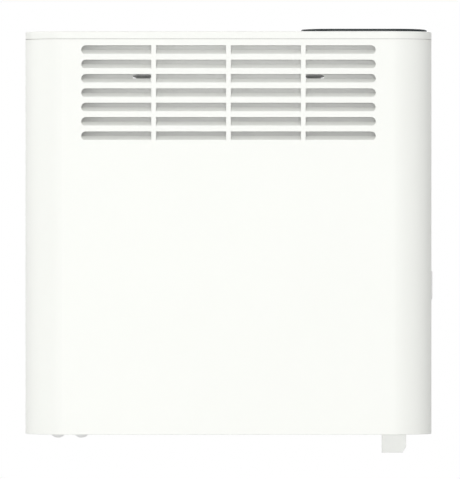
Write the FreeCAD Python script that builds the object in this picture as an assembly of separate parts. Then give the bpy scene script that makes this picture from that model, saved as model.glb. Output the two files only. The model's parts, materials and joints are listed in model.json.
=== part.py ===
import FreeCAD
import Part
import math
import os

# Wall convector heater hung on a steel wall bracket, in millimetres.
# X runs to the right as seen from the room, Y runs into the wall and Z is up. The wall is the
# plane Y = 0. Heights are taken from the casing's lower edge, and every finished piece is
# lowered at the end, so that the origin is the centre of the four wall screws.

# Casing
CASE_W = 455.0            # overall width
CASE_H = 450.0            # lower edge to the top of the cover
CASE_D = 98.0             # front face to the back of the casing
CORNER_R = 42.0           # upright front corners
WALL_GAP = 22.0           # back of the casing to the wall
SHEET = 1.0               # casing, rear panel and base plate
INNER_SHEET = 0.8         # baffles, shield and deflector
LOWER_EDGE_R = 0.8        # softened lower edge of the casing
RETURN_W = 12.0           # rear and lower return flanges
CLEAR = 0.3               # between pieces that plug together or slide

# Louvres pressed into the front
LOUVRE_ROWS = 7
LOUVRE_COLUMNS = 4
SLOT_L = 78.0
SLOT_H = 10.0
BAR_W = 5.4               # upright bars between the columns
ROW_PITCH = 16.0
LOUVRE_DROP = 7.6         # cover seam to the first row
BLADE_LEAN = 55.0         # degrees the blade is bent in from the front
BLADE_BEND_R = 0.4        # inside of the bend
BLADE_GAP = 4.6           # opening above the blade's edge
BLADE_CUT = 0.3           # shear gap between a blade and a bar

# Top cover
COVER_H = 8.3             # skirt height
COVER_WALL = 2.0
COVER_TOP = 2.2           # thickness of the top plate
COVER_EDGE_R = 1.2
SEAM = 0.5                # shadow line between cover and casing
LIP_T = 1.5               # rim that plugs into the casing
LIP_H = 3.8

# Control panel
PANEL_D = 74.0
PANEL_INSET = 5.2         # from the casing's front and right side
PANEL_FLAT = 2.0          # straight stretch in the middle of its round ends
PANEL_RISE = 2.9          # stands proud of the cover
PANEL_EDGE_R = 1.4
PANEL_SEAT = 1.2          # depth of its seat in the cover
SEAT_LEDGE = 9.0          # width of the ledge that carries the panel
LENS_W = 54.0
LENS_D = 24.0
LENS_T = 1.6
LENS_LEDGE = 2.5
KEY_R = 5.75
KEY_CLEAR = 0.25
KEY_RISE = 0.5
KEY_FLANGE = 1.25         # wider than the hole, so that the key stays in
KEY_FLANGE_T = 1.0
KEY_TRAVEL = 0.8
KEY_CHAMFER = 0.5
KEY_PITCH = 16.0
KEY_GAP = 1.0             # display to the flange of the nearest key
KEY_EDGE = 0.4            # flange of the last key to the cover's ledge
TACT_SIZE = 6.0
TACT_H = 4.3
TACT_PLUNGER_R = 1.75
TACT_BODY_H = 3.4
TACT_GAP = 0.05           # left under a key at full travel
LCD_W = 60.0
LCD_D = 30.0
BOARD_T = 1.6
BOARD_MARGIN = 3.0        # control board inside the panel's outline
BOSS_R = 2.8
BOSS_EDGE = 6.0           # panel edge to the boss
BOSS_SPAN = 52.0
BOARD_SCREW_R = 1.25
BOARD_SCREW_L = 5.0
BOARD_SCREW_HEAD_R = 2.4
BOARD_SCREW_HEAD_H = 1.4
FIT = 0.1                 # close fit between pieces that stay put

# Mains switch in the right side
SWITCH_Z = 166.3          # height of its centre
SWITCH_SETBACK = 30.0     # back of the casing to its centre
BEZEL_H = 32.0
BEZEL_W = 26.0
BEZEL_T = 1.5
BEZEL_EDGE_R = 0.9
BEZEL_CORNER_R = 2.5
SWITCH_H = 29.0
SWITCH_W = 22.0
SWITCH_DEPTH = 22.0
WELL_W = 18.4             # opening that the rocker sits in
WELL_DEPTH = 13.0
ROCKER_PIVOT = 5.0        # depth of the pivot under the side wall
ROCKER_REACH = 12.9       # pivot to the rocker's ends
ROCKER_END_RISE = 0.6     # rocker ends above the side wall when level
ROCKER_DISH = 0.9         # hollow of the rocker's face
ROCKER_TILT = 7.0         # degrees either way from level
TRUNNION_R = 1.5
TRUNNION_L = 1.3
TRUNNION_CLEAR = 0.08
TAB_W = 6.3
TAB_T = 0.8
TAB_L = 8.0

# Air path and heating element
LEFT_BAY = 76.0           # left side of the casing to the air shaft
RIGHT_BAY = 66.0
SHIELD_GAP = 12.0         # front face to the heat shield
SHIELD_FOOT = 20.0        # lower edge of the shield
SHIELD_DROP = 8.0         # lowest louvre to the top of the shield
SHIELD_LIP = 7.0
FLANGE_W = 10.0           # flanges of the baffles
DEFLECTOR_DROP = 23.5     # top of the cover to the deflector's lower edge
DEFLECTOR_FOOT = 11.1
DEFLECTOR_RISE = 1.0
DEFLECTOR_GAP = 8.0       # front face to the deflector's edge
SHEET_BEND_R = 1.0
ELEMENT_Z = 75.0
ELEMENT_R = 4.5
ELEMENT_TAIL = 22.0       # tube beyond each baffle
PIN_R = 1.5
PIN_L = 10.0
FIN_D = 56.0
FIN_H = 40.0
FIN_T = 0.6
FIN_PITCH = 8.0
FIN_MARGIN = 8.0          # baffle to the first fin
BUSH_R = 7.3
BUSH_FLANGE_R = 10.0
BUSH_FLANGE_T = 2.5
BUSH_NOSE = 4.0
CUTOUT_R = 8.0
CUTOUT_H = 6.0
CUTOUT_Z = 130.0
CUTOUT_EAR = 24.0
CUTOUT_EAR_T = 1.2

# Base plate
INTAKE_W = 7.0
INTAKE_PITCH = 15.0
INTAKE_MARGIN = 14.0
BASE_FLANGE_H = 14.0

# Cable grommets in the base plate
GROMMET_X = 36.0          # left side of the casing to the outer grommet
GROMMET_PITCH = 26.3
GROMMET_SETBACK = 60.0    # front face to their centres
GROMMET_HOLE_R = 7.0
GROMMET_R = 9.0           # flange and dome
GROMMET_DROP = 4.9        # dome below the casing's lower edge
GROMMET_TOP = 2.0
GROMMET_WALL = 1.4

# Inner electrics
SPACER_R = 3.0
SPACER_L = 8.0
POWER_BOARD_D = 56.0
POWER_BOARD_H = 120.0
POWER_BOARD_Z = 185.0
POWER_BOARD_SETBACK = 22.0
SPACER_INSET = 6.0
PART_MARGIN = 8.0         # edge of the power board to what it carries
RELAY_L = 30.0
RELAY_W = 16.0
RELAY_RISE = 16.0
CORE_L = 32.0             # transformer
CORE_W = 24.0
CORE_RISE = 20.0
STRIP_L = 26.0            # terminal strip
STRIP_D = 8.0
STRIP_RISE = 10.0
CAN_R = 6.0               # capacitors
CAN_RISE = 18.0
CAN_PITCH = 18.0
TERMINAL_W = 40.0
TERMINAL_D = 18.0
TERMINAL_H = 24.0
TERMINAL_Z = 75.0
TERMINAL_INSET = 14.0     # casing side to the block
TERMINAL_WAYS = 3
TERMINAL_WAY_R = 3.2
SENSOR_INSET = 26.0       # casing side to the room sensor
SENSOR_SETBACK = 24.0     # front face to the room sensor
SENSOR_H = 20.0
SENSOR_CLIP_R = 5.0
SENSOR_CLIP_H = 5.0
SENSOR_STALK_R = 1.5
SENSOR_BEAD_R = 2.6
HARNESS_R = 2.5
HARNESS_Z = 52.0
HARNESS_SETBACK = 8.0     # rear panel to the harness
HARNESS_BEND_R = 9.0
LEAD_R = 1.4
LEAD_BEND_R = 6.0
LEAD_GAP = 0.3
GLAND_CLEAR = 0.6         # cable holes in the baffles
RIBBON_W = 12.0
RIBBON_T = 0.8

# Rear screws
SCREW_R = 1.9
SCREW_L = 9.0
SCREW_HEAD_R = 3.8
SCREW_HEAD_H = 2.2
SCREW_HOLE = 0.2          # clearance round the shank
SCREW_MARGIN = 40.0       # casing ends to the outer screws
BASE_SCREW_PITCH = 120.0

# Stiffening beads in the rear panel
BEAD_L = 96.0
BEAD_H = 12.0
BEAD_RISE = 2.0
BEAD_TAPER = 2.0
BEAD_ROWS = 3
BEAD_FIRST = 110.0
BEAD_PITCH = 100.0
SIDE_BEAD_X = 174.0
SIDE_BEAD_L = 60.0

# Wall bracket
HOOK_X = 96.3             # centre of the heater to each hook
HOOK_DROP = 50.9          # top of the cover to the hanging slots
HOOK_W = 22.6             # widest place of the hook
HOOK_NECK = 15.8
HOOK_TIP = 7.4            # width of its tip
HOOK_L = 9.5              # hook in front of the rear panel
HOOK_FLARE = 1.0          # rear panel to where the neck widens
HOOK_WIDEST = 4.4         # rear panel to the widest place
HOOK_LEAN = 15.0          # degrees that the hook rises
HANG_SLOT_R = 0.8
HANG_SLOT_H = 4.8
BRACKET_T = 1.5
BRACKET_BEND_R = 1.0
HAT_W = 34.0
HAT_FOOT = 12.0
HAT_LOW = 14.0            # lower end of the uprights
RAIL_T = 2.0
RAIL_H = 26.0
RAIL_DROP = 27.1          # hanging slots to the upper rail
RAIL_LOWER_Z = 29.0
RAIL_OVERHANG = 15.0      # upper rail beyond its screw
WALL_SCREW_X = 150.0      # half the spacing of the wall screws
WALL_HOLE_R = 3.25
TONGUE_H = 14.0
TONGUE_L = 20.0           # tongue in front of the rear panel
TONGUE_BEND_R = 2.0
CATCH_FOOT = 25.0         # catch along the rail
TONGUE_SLOT_CLEAR = 1.5

# Release latch at the lower right
LATCH_X = 40.9            # right side of the casing to the latch's centre
LATCH_W = 27.4
LATCH_T = 4.0
LATCH_SETBACK = 6.0       # rear panel to the latch
LATCH_DROP = 22.7         # tab below the casing's lower edge
LATCH_CHAMFER_X = 4.0
LATCH_CHAMFER_Z = 6.7
LATCH_EDGE_R = 0.8
LATCH_SHOULDER = 2.4      # shoulders that rest on the base plate
LATCH_REST = 0.2
LATCH_TOP = 38.0
LATCH_TRAVEL = 7.0
LATCH_WINDOW = 8.0
NOTCH_DEPTH = 6.0
NOTCH_CLEAR = 1.0
GUIDE_POST = 3.0
GUIDE_LIP = 2.6
GUIDE_BACK = 2.0
GUIDE_H = 44.0

HALF_W = CASE_W / 2
BACK_Y = -WALL_GAP
FRONT_Y = BACK_Y - CASE_D
REAR_BACK_Y = BACK_Y - SHEET      # rear panel, face towards the wall
REAR_FRONT_Y = REAR_BACK_Y - SHEET
FLOOR_Z = 2 * SHEET
COVER_Z = CASE_H - COVER_H
CASING_TOP = COVER_Z - SEAM
BLADE_RISE = SLOT_H - BLADE_GAP
LOUVRE_W = LOUVRE_COLUMNS * SLOT_L + (LOUVRE_COLUMNS - 1) * BAR_W
LOUVRE_FOOT = COVER_Z - LOUVRE_DROP - SLOT_H - (LOUVRE_ROWS - 1) * ROW_PITCH
SHIELD_Y = FRONT_Y + SHIELD_GAP
BAFFLE_FRONT_Y = SHIELD_Y + INNER_SHEET
DEFLECTOR_Z = CASE_H - DEFLECTOR_DROP
SHIELD_TOP = LOUVRE_FOOT - SHIELD_DROP
BAFFLE_TOP = SHIELD_TOP + 2 * INNER_SHEET + CLEAR
SHAFT_LEFT = -HALF_W + LEFT_BAY
SHAFT_RIGHT = HALF_W - RIGHT_BAY
BAY_FACE = SHAFT_RIGHT + INNER_SHEET
ELEMENT_Y = (BAFFLE_FRONT_Y + REAR_FRONT_Y) / 2
KEY_OFFSET = LCD_W / 2 + KEY_GAP + KEY_FLANGE + KEY_R
PANEL_W = 2 * (KEY_OFFSET + KEY_PITCH + KEY_R + KEY_FLANGE + KEY_EDGE + SEAT_LEDGE)
PANEL_X1 = HALF_W - PANEL_INSET
PANEL_X0 = PANEL_X1 - PANEL_W
PANEL_Y0 = FRONT_Y + PANEL_INSET
PANEL_Y1 = PANEL_Y0 + PANEL_D
PANEL_CX = (PANEL_X0 + PANEL_X1) / 2
PANEL_CY = (PANEL_Y0 + PANEL_Y1) / 2
PANEL_UNDER = CASE_H - PANEL_SEAT
PANEL_TOP = CASE_H + PANEL_RISE
KEY_FLANGE_Z = PANEL_UNDER - FIT - KEY_FLANGE_T
BOARD_TOP = KEY_FLANGE_Z - KEY_TRAVEL - TACT_GAP - TACT_H
BOARD_UNDER = BOARD_TOP - BOARD_T
SWITCH_Y = BACK_Y - SWITCH_SETBACK
GROMMET_Y = FRONT_Y + GROMMET_SETBACK
POWER_X = BAY_FACE + SPACER_L
POWER_Y1 = REAR_FRONT_Y - POWER_BOARD_SETBACK
POWER_Y0 = POWER_Y1 - POWER_BOARD_D
HARNESS_Y = REAR_FRONT_Y - HARNESS_SETBACK
LATCH_CX = HALF_W - LATCH_X
LATCH_Y1 = REAR_FRONT_Y - LATCH_SETBACK
LATCH_Y0 = LATCH_Y1 - LATCH_T
TONGUE_X = LATCH_CX + RAIL_T / 2
TONGUE_TOP = RAIL_LOWER_Z + TONGUE_H / 2
NOTCH_Z = TONGUE_TOP - NOTCH_DEPTH
HOOK_Z = CASE_H - HOOK_DROP
HANG_SLOT_W = HOOK_W + 2 * CLEAR
RAIL_UPPER_Z = HOOK_Z - RAIL_DROP
PATTERN_Z = (RAIL_UPPER_Z + RAIL_LOWER_Z) / 2


def vec(x, y, z):
    return FreeCAD.Vector(x, y, z)


def plan(x, y):
    return vec(x, y, 0)


def block(x0, x1, y0, y1, z0, z1):
    return Part.makeBox(x1 - x0, y1 - y0, z1 - z0, vec(x0, y0, z0))


def rod(start, end, radius):
    axis = end - start
    return Part.makeCylinder(radius, axis.Length, start, axis)


def rounded_wire(corners):
    """Closed outline through corners, each given as a point and its rounding radius."""
    turns = []
    for i, (point, radius) in enumerate(corners):
        before = (corners[i - 1][0] - point).normalize()
        after = (corners[(i + 1) % len(corners)][0] - point).normalize()
        half = before.getAngle(after) / 2
        reach = radius / math.tan(half)
        inward = (before + after).normalize()
        middle = point + inward * (radius / math.sin(half) - radius)
        turns.append((point + before * reach, middle, point + after * reach, radius))
    edges = []
    for i, (start, middle, end, radius) in enumerate(turns):
        if radius > 0:
            edges.append(Part.Arc(start, middle, end).toShape())
        next_start = turns[(i + 1) % len(turns)][0]
        if end.distanceToPoint(next_start) > 1e-6:
            edges.append(Part.makeLine(end, next_start))
    return Part.Wire(edges)


def rounded_rect(x0, x1, y0, y1, radius):
    corners = [plan(x0, y0), plan(x1, y0), plan(x1, y1), plan(x0, y1)]
    return rounded_wire([(point, radius) for point in corners])


def prism(wire, z0, z1):
    face = Part.Face(wire)
    face.translate(vec(0, 0, z0))
    return face.extrude(vec(0, 0, z1 - z0))


def upright_outline(x0, x1, z0, z1, radius, y):
    """Rounded rectangle that stands in a plane facing the room."""
    corners = [vec(x0, y, z0), vec(x1, y, z0), vec(x1, y, z1), vec(x0, y, z1)]
    return rounded_wire([(point, radius) for point in corners])


def upright_slot(cx, cz, length, height, y0, y1):
    """Obround cutter along Y."""
    wire = upright_outline(cx - length / 2, cx + length / 2, cz - height / 2, cz + height / 2,
                           height / 2, y0)
    return Part.Face(wire).extrude(vec(0, y1 - y0, 0))


def bent_profile(points, thickness, bend_r, place):
    """Section of a bent sheet. The points are its one face, and the other face lies to the left
    of their direction, or to the right where the thickness is negative."""
    flat = [vec(a, b, 0) for a, b in points]
    steps = [(flat[i + 1] - flat[i]).normalize() for i in range(len(flat) - 1)]
    offsets = [vec(-step.y, step.x, 0) * thickness for step in steps]
    near = [[flat[0]]]
    far = [[flat[0] + offsets[0]]]
    for i in range(1, len(flat) - 1):
        along, ahead = steps[i - 1], steps[i]
        side = math.copysign(1, along.x * ahead.y - along.y * ahead.x)
        radius = bend_r + (abs(thickness) if side * thickness > 0 else 0)
        reach = radius * math.tan(along.getAngle(ahead) / 2)
        enter = flat[i] - along * reach
        leave = flat[i] + ahead * reach
        centre = enter + vec(-along.y, along.x, 0) * (side * radius)
        outward = (flat[i] - centre).normalize()
        near.append([enter, centre + outward * radius, leave])
        far_r = radius - side * thickness
        far.append([enter + offsets[i - 1], centre + outward * far_r, leave + offsets[i]])
    near.append([flat[-1]])
    far.append([flat[-1] + offsets[-1]])
    around = near + [turn[::-1] for turn in far[::-1]]
    edges = []
    for i, turn in enumerate(around):
        turn = [place(point.x, point.y) for point in turn]
        following = around[(i + 1) % len(around)][0]
        if len(turn) == 3:
            edges.append(Part.Arc(*turn).toShape())
        edges.append(Part.makeLine(turn[-1], place(following.x, following.y)))
    return Part.Face(Part.Wire(edges))


def bent_tube(points, bend_r, radius):
    """Round cable along straight runs joined by arcs."""
    edges = []
    start = points[0]
    for i in range(1, len(points) - 1):
        before = (points[i - 1] - points[i]).normalize()
        after = (points[i + 1] - points[i]).normalize()
        half = before.getAngle(after) / 2
        reach = bend_r / math.tan(half)
        enter = points[i] + before * reach
        leave = points[i] + after * reach
        middle = points[i] + (before + after).normalize() * (bend_r / math.sin(half) - bend_r)
        edges.append(Part.makeLine(start, enter))
        edges.append(Part.Arc(enter, middle, leave).toShape())
        start = leave
    edges.append(Part.makeLine(start, points[-1]))
    ring = Part.Wire(Part.makeCircle(radius, points[0], points[1] - points[0]))
    return Part.Wire(edges).makePipeShell([ring], True, False)


def spun(points, axis, last=None):
    """Solid of revolution about an axis through the origin, from a chain of points. The chain may
    end in one more edge, and is closed along the axis."""
    edges = [Part.makeLine(points[i], points[i + 1]) for i in range(len(points) - 1)]
    end = points[-1]
    if last:
        edges.append(last)
        end = last.Vertexes[-1].Point
    edges.append(Part.makeLine(end, points[0]))
    body = Part.Face(Part.Wire(edges)).revolve(vec(0, 0, 0), axis, 360)
    return body if body.Volume > 0 else body.reversed()


def plan_outline(inset, back_y):
    """The casing's outline seen from above, moved inwards by the inset."""
    side = HALF_W - inset
    front = FRONT_Y + inset
    radius = CORNER_R - inset
    return rounded_wire([(plan(-side, back_y), 0), (plan(-side, front), radius),
                         (plan(side, front), radius), (plan(side, back_y), 0)])


def panel_outline(inset):
    """The control panel's outline seen from above, moved inwards by the inset."""
    x0 = PANEL_X0 + inset
    x1 = PANEL_X1 - inset
    y0 = PANEL_Y0 + inset
    y1 = PANEL_Y1 - inset
    left = (PANEL_D - PANEL_FLAT) / 2 - inset
    front = CORNER_R - PANEL_INSET - inset
    rear = 2 * left - front
    return rounded_wire([(plan(x0, y0), left), (plan(x1, y0), front),
                         (plan(x1, y1), rear), (plan(x0, y1), left)])


def rear_screw_seats():
    """Foot of each rear screw's head: two rows along the casing's returns, one along the base."""
    rows = [SCREW_MARGIN, CASING_TOP / 2, CASING_TOP - SCREW_MARGIN]
    side = HALF_W - RETURN_W / 2
    seats = [vec(x, BACK_Y, z) for x in (-side, side) for z in rows]
    low = FLOOR_Z + BASE_FLANGE_H / 2
    seats += [vec(x, REAR_BACK_Y, low) for x in (-BASE_SCREW_PITCH, 0, BASE_SCREW_PITCH)]
    return seats


def rear_screw_holes():
    reach = vec(0, SCREW_L, 0)
    holes = [rod(seat - reach, seat + reach, SCREW_R + SCREW_HOLE) for seat in rear_screw_seats()]
    return Part.makeCompound(holes)


def louvre_row_cutter(foot):
    half = LOUVRE_W / 2
    row = upright_slot(0, foot + SLOT_H / 2, LOUVRE_W, SLOT_H, FRONT_Y - SHEET, FRONT_Y + 2 * SHEET)
    bars = []
    for i in range(1, LOUVRE_COLUMNS):
        x = -half + i * SLOT_L + (i - 1) * BAR_W
        bars.append(block(x, x + BAR_W, FRONT_Y - 2 * SHEET, FRONT_Y + 3 * SHEET, foot - SHEET,
                          foot + SLOT_H + SHEET))
    return row.cut(Part.makeCompound(bars))


def louvre_blade_profile(x, foot):
    """Blade bent inwards from a slot's lower edge, as a face across the row."""
    lean = math.radians(BLADE_LEAN)
    outer_r = BLADE_BEND_R + SHEET
    corner = foot + outer_r * math.tan(lean / 2)
    length = (foot + BLADE_RISE - corner) / math.cos(lean)
    tip = (FRONT_Y + length * math.sin(lean), foot + BLADE_RISE)
    points = [(FRONT_Y, foot - SHEET / 2), (FRONT_Y, corner), tip]
    return bent_profile(points, -SHEET, BLADE_BEND_R, lambda y, z: vec(x, y, z))


def louvre_blades(foot):
    """The blades of one row, with bowl ends at the two outer slot ends."""
    half = LOUVRE_W / 2
    end_r = SLOT_H / 2
    blades = []
    for i in range(LOUVRE_COLUMNS):
        x0 = -half + i * (SLOT_L + BAR_W)
        x1 = x0 + SLOT_L
        x0 += end_r if i == 0 else BLADE_CUT
        x1 -= end_r if i == LOUVRE_COLUMNS - 1 else BLADE_CUT
        blades.append(louvre_blade_profile(x0, foot).extrude(vec(x1 - x0, 0, 0)))
    for x, turn in ((-half + end_r, 90), (half - end_r, -90)):
        axis = foot + end_r
        under_axis = block(x - SHEET, x + SHEET, FRONT_Y - SHEET, BACK_Y, foot - SHEET, axis - FIT)
        profile = louvre_blade_profile(x, foot).common(under_axis).Faces[0]
        blades.append(profile.revolve(vec(x, FRONT_Y, axis), vec(0, 1, 0), turn))
    return blades


def front_casing():
    shell = prism(plan_outline(0, BACK_Y), 0, CASING_TOP)
    shell = shell.cut(prism(plan_outline(SHEET, BACK_Y + SHEET), -SHEET, CASE_H))
    outer = plan_outline(0, BACK_Y)

    def on_lower_edge(edge):
        middle = edge.valueAt((edge.FirstParameter + edge.LastParameter) / 2)
        level = max(abs(vertex.Z) for vertex in edge.Vertexes) < 1e-6
        return level and middle.y < BACK_Y - SHEET and Part.Vertex(middle).distToShape(outer)[0] < 1e-6

    shell = shell.makeFillet(LOWER_EDGE_R, [edge for edge in shell.Edges if on_lower_edge(edge)])
    inner = HALF_W - SHEET / 2
    straight = HALF_W - CORNER_R
    side_y0 = FRONT_Y + CORNER_R
    side_y1 = REAR_FRONT_Y - CLEAR
    flanges = [block(-straight, straight, FRONT_Y + SHEET / 2, FRONT_Y + RETURN_W, 0, SHEET)]
    for side in (-1, 1):
        x0, x1 = sorted((side * inner, side * (HALF_W - RETURN_W)))
        flanges.append(block(x0, x1, BACK_Y - SHEET, BACK_Y, 0, CASING_TOP))
        flanges.append(block(x0, x1, side_y0, side_y1, 0, SHEET))
    blades = []
    slots = []
    for row in range(LOUVRE_ROWS):
        foot = LOUVRE_FOOT + row * ROW_PITCH
        slots.append(louvre_row_cutter(foot))
        blades += louvre_blades(foot)
    half_w = SWITCH_W / 2 + CLEAR
    half_h = SWITCH_H / 2 + CLEAR
    switch_hole = block(HALF_W - 2 * SHEET, HALF_W + SHEET, SWITCH_Y - half_w, SWITCH_Y + half_w,
                        SWITCH_Z - half_h, SWITCH_Z + half_h)
    cutters = Part.makeCompound(slots + [switch_hole, rear_screw_holes()])
    return shell.multiFuse(flanges).cut(cutters).multiFuse(blades).removeSplitter()


def top_cover():
    body = prism(plan_outline(0, BACK_Y), COVER_Z, CASE_H)
    rim = [edge for edge in body.Edges if min(vertex.Z for vertex in edge.Vertexes) > CASE_H - 1e-6]
    body = body.makeFillet(COVER_EDGE_R, rim)
    under = CASE_H - COVER_TOP
    body = body.cut(prism(plan_outline(COVER_WALL, BACK_Y - COVER_WALL), COVER_Z - SHEET, under))
    gap = SHEET + CLEAR
    lip = prism(plan_outline(gap, REAR_FRONT_Y - CLEAR), COVER_Z - LIP_H, under)
    lip = lip.cut(prism(plan_outline(gap + LIP_T, REAR_FRONT_Y - CLEAR - LIP_T), 0, CASE_H))
    body = body.fuse(lip)
    bosses = [rod(vec(x, y, BOARD_TOP), vec(x, y, under + COVER_TOP / 4), BOSS_R)
              for x, y in board_screw_places()]
    body = body.multiFuse(bosses)
    pilots = [rod(vec(x, y, BOARD_TOP - SHEET), vec(x, y, BOARD_TOP + BOARD_SCREW_L),
                  BOARD_SCREW_R + FIT) for x, y in board_screw_places()]
    seat = prism(panel_outline(-FIT), PANEL_UNDER, CASE_H + SHEET)
    window = prism(panel_outline(SEAT_LEDGE), COVER_Z, CASE_H)
    return body.cut(Part.makeCompound(pilots)).cut(seat).cut(window).removeSplitter()


def board_screw_places():
    return [(PANEL_CX + side * BOSS_SPAN / 2, y)
            for side in (-1, 1) for y in (PANEL_Y0 + BOSS_EDGE, PANEL_Y1 - BOSS_EDGE)]


def key_places():
    far = KEY_OFFSET + KEY_PITCH
    offsets = {"key_menu": -far, "key_minus": -KEY_OFFSET, "key_plus": KEY_OFFSET, "key_ok": far}
    return {name: PANEL_CX + offset for name, offset in offsets.items()}


def control_panel():
    body = prism(panel_outline(0), PANEL_UNDER, PANEL_TOP)
    rim = [edge for edge in body.Edges if min(vertex.Z for vertex in edge.Vertexes) > PANEL_TOP - 1e-6]
    body = body.makeFillet(PANEL_EDGE_R, rim)
    half_w = LENS_W / 2
    half_d = LENS_D / 2
    seat = block(PANEL_CX - half_w, PANEL_CX + half_w, PANEL_CY - half_d, PANEL_CY + half_d,
                 PANEL_TOP - LENS_T, PANEL_TOP + SHEET)
    view_w = half_w - LENS_LEDGE
    view_d = half_d - LENS_LEDGE
    view = block(PANEL_CX - view_w, PANEL_CX + view_w, PANEL_CY - view_d, PANEL_CY + view_d,
                 PANEL_UNDER - SHEET, PANEL_TOP)
    holes = [rod(vec(x, PANEL_CY, PANEL_UNDER - SHEET), vec(x, PANEL_CY, PANEL_TOP + SHEET),
                 KEY_R + KEY_CLEAR) for x in key_places().values()]
    return body.cut(Part.makeCompound([seat, view])).cut(Part.makeCompound(holes))


def display_lens():
    half_w = LENS_W / 2 - FIT
    half_d = LENS_D / 2 - FIT
    return block(PANEL_CX - half_w, PANEL_CX + half_w, PANEL_CY - half_d, PANEL_CY + half_d,
                 PANEL_TOP - LENS_T, PANEL_TOP)


def key(x):
    """Push key with a flange under the panel."""
    top = PANEL_TOP + KEY_RISE
    flange_r = KEY_R + KEY_FLANGE
    flange_top = KEY_FLANGE_Z + KEY_FLANGE_T
    points = [vec(0, 0, KEY_FLANGE_Z), vec(flange_r, 0, KEY_FLANGE_Z), vec(flange_r, 0, flange_top),
              vec(KEY_R, 0, flange_top), vec(KEY_R, 0, top - KEY_CHAMFER), vec(KEY_R - KEY_CHAMFER, 0, top),
              vec(0, 0, top)]
    body = spun(points, vec(0, 0, 1))
    body.translate(vec(x, PANEL_CY, 0))
    return body


def lcd_module():
    return block(PANEL_CX - LCD_W / 2, PANEL_CX + LCD_W / 2, PANEL_CY - LCD_D / 2, PANEL_CY + LCD_D / 2,
                 BOARD_TOP, PANEL_UNDER - CLEAR)


def control_board():
    board = prism(panel_outline(BOARD_MARGIN), BOARD_UNDER, BOARD_TOP)
    holes = [rod(vec(x, y, BOARD_UNDER - SHEET), vec(x, y, BOARD_TOP + SHEET), BOARD_SCREW_R + FIT)
             for x, y in board_screw_places()]
    board = board.cut(Part.makeCompound(holes))
    switches = []
    half = TACT_SIZE / 2
    sunk = BOARD_TOP - BOARD_T / 2
    for x in key_places().values():
        switches.append(block(x - half, x + half, PANEL_CY - half, PANEL_CY + half,
                              sunk, BOARD_TOP + TACT_BODY_H))
        switches.append(rod(vec(x, PANEL_CY, sunk), vec(x, PANEL_CY, BOARD_TOP + TACT_H),
                            TACT_PLUNGER_R))
    return board.multiFuse(switches)


def board_screws():
    screws = []
    for x, y in board_screw_places():
        seat = vec(x, y, BOARD_UNDER)
        head = rod(seat - vec(0, 0, BOARD_SCREW_HEAD_H), seat, BOARD_SCREW_HEAD_R)
        shank = rod(seat, seat + vec(0, 0, BOARD_T + BOARD_SCREW_L - FIT), BOARD_SCREW_R)
        screws.append(head.fuse(shank))
    return Part.makeCompound(screws)


def switch_outline(height, width, radius, x):
    """Rounded rectangle in the plane of the casing's right side."""
    z0 = SWITCH_Z - height / 2
    z1 = SWITCH_Z + height / 2
    y0 = SWITCH_Y - width / 2
    y1 = SWITCH_Y + width / 2
    corners = [vec(x, y0, z0), vec(x, y1, z0), vec(x, y1, z1), vec(x, y0, z1)]
    return rounded_wire([(point, radius) for point in corners])


def switch_body():
    outline = switch_outline(BEZEL_H, BEZEL_W, BEZEL_CORNER_R, HALF_W)
    bezel = Part.Face(outline).extrude(vec(BEZEL_T, 0, 0))
    face_x = HALF_W + BEZEL_T
    rim = [edge for edge in bezel.Edges if min(vertex.X for vertex in edge.Vertexes) > face_x - 1e-6]
    bezel = bezel.makeFillet(BEZEL_EDGE_R, rim)
    half_w = SWITCH_W / 2
    half_h = SWITCH_H / 2
    rear_x = HALF_W - SWITCH_DEPTH
    case = block(rear_x, HALF_W, SWITCH_Y - half_w, SWITCH_Y + half_w,
                 SWITCH_Z - half_h, SWITCH_Z + half_h)
    tabs = []
    for side in (-1, 1):
        z = SWITCH_Z + side * SWITCH_H / 4
        tabs.append(block(rear_x - TAB_L, rear_x + SHEET, SWITCH_Y - TAB_W / 2, SWITCH_Y + TAB_W / 2,
                          z - TAB_T / 2, z + TAB_T / 2))
    well_h = ROCKER_REACH + CLEAR
    well = block(HALF_W - WELL_DEPTH, face_x + SHEET, SWITCH_Y - WELL_W / 2, SWITCH_Y + WELL_W / 2,
                 SWITCH_Z - well_h, SWITCH_Z + well_h)
    pivot_x = HALF_W - ROCKER_PIVOT
    reach = WELL_W / 2 + TRUNNION_L
    bore = rod(vec(pivot_x, SWITCH_Y - reach, SWITCH_Z), vec(pivot_x, SWITCH_Y + reach, SWITCH_Z),
               TRUNNION_R + TRUNNION_CLEAR)
    return bezel.multiFuse([case] + tabs).cut(well).cut(bore).removeSplitter()


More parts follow.
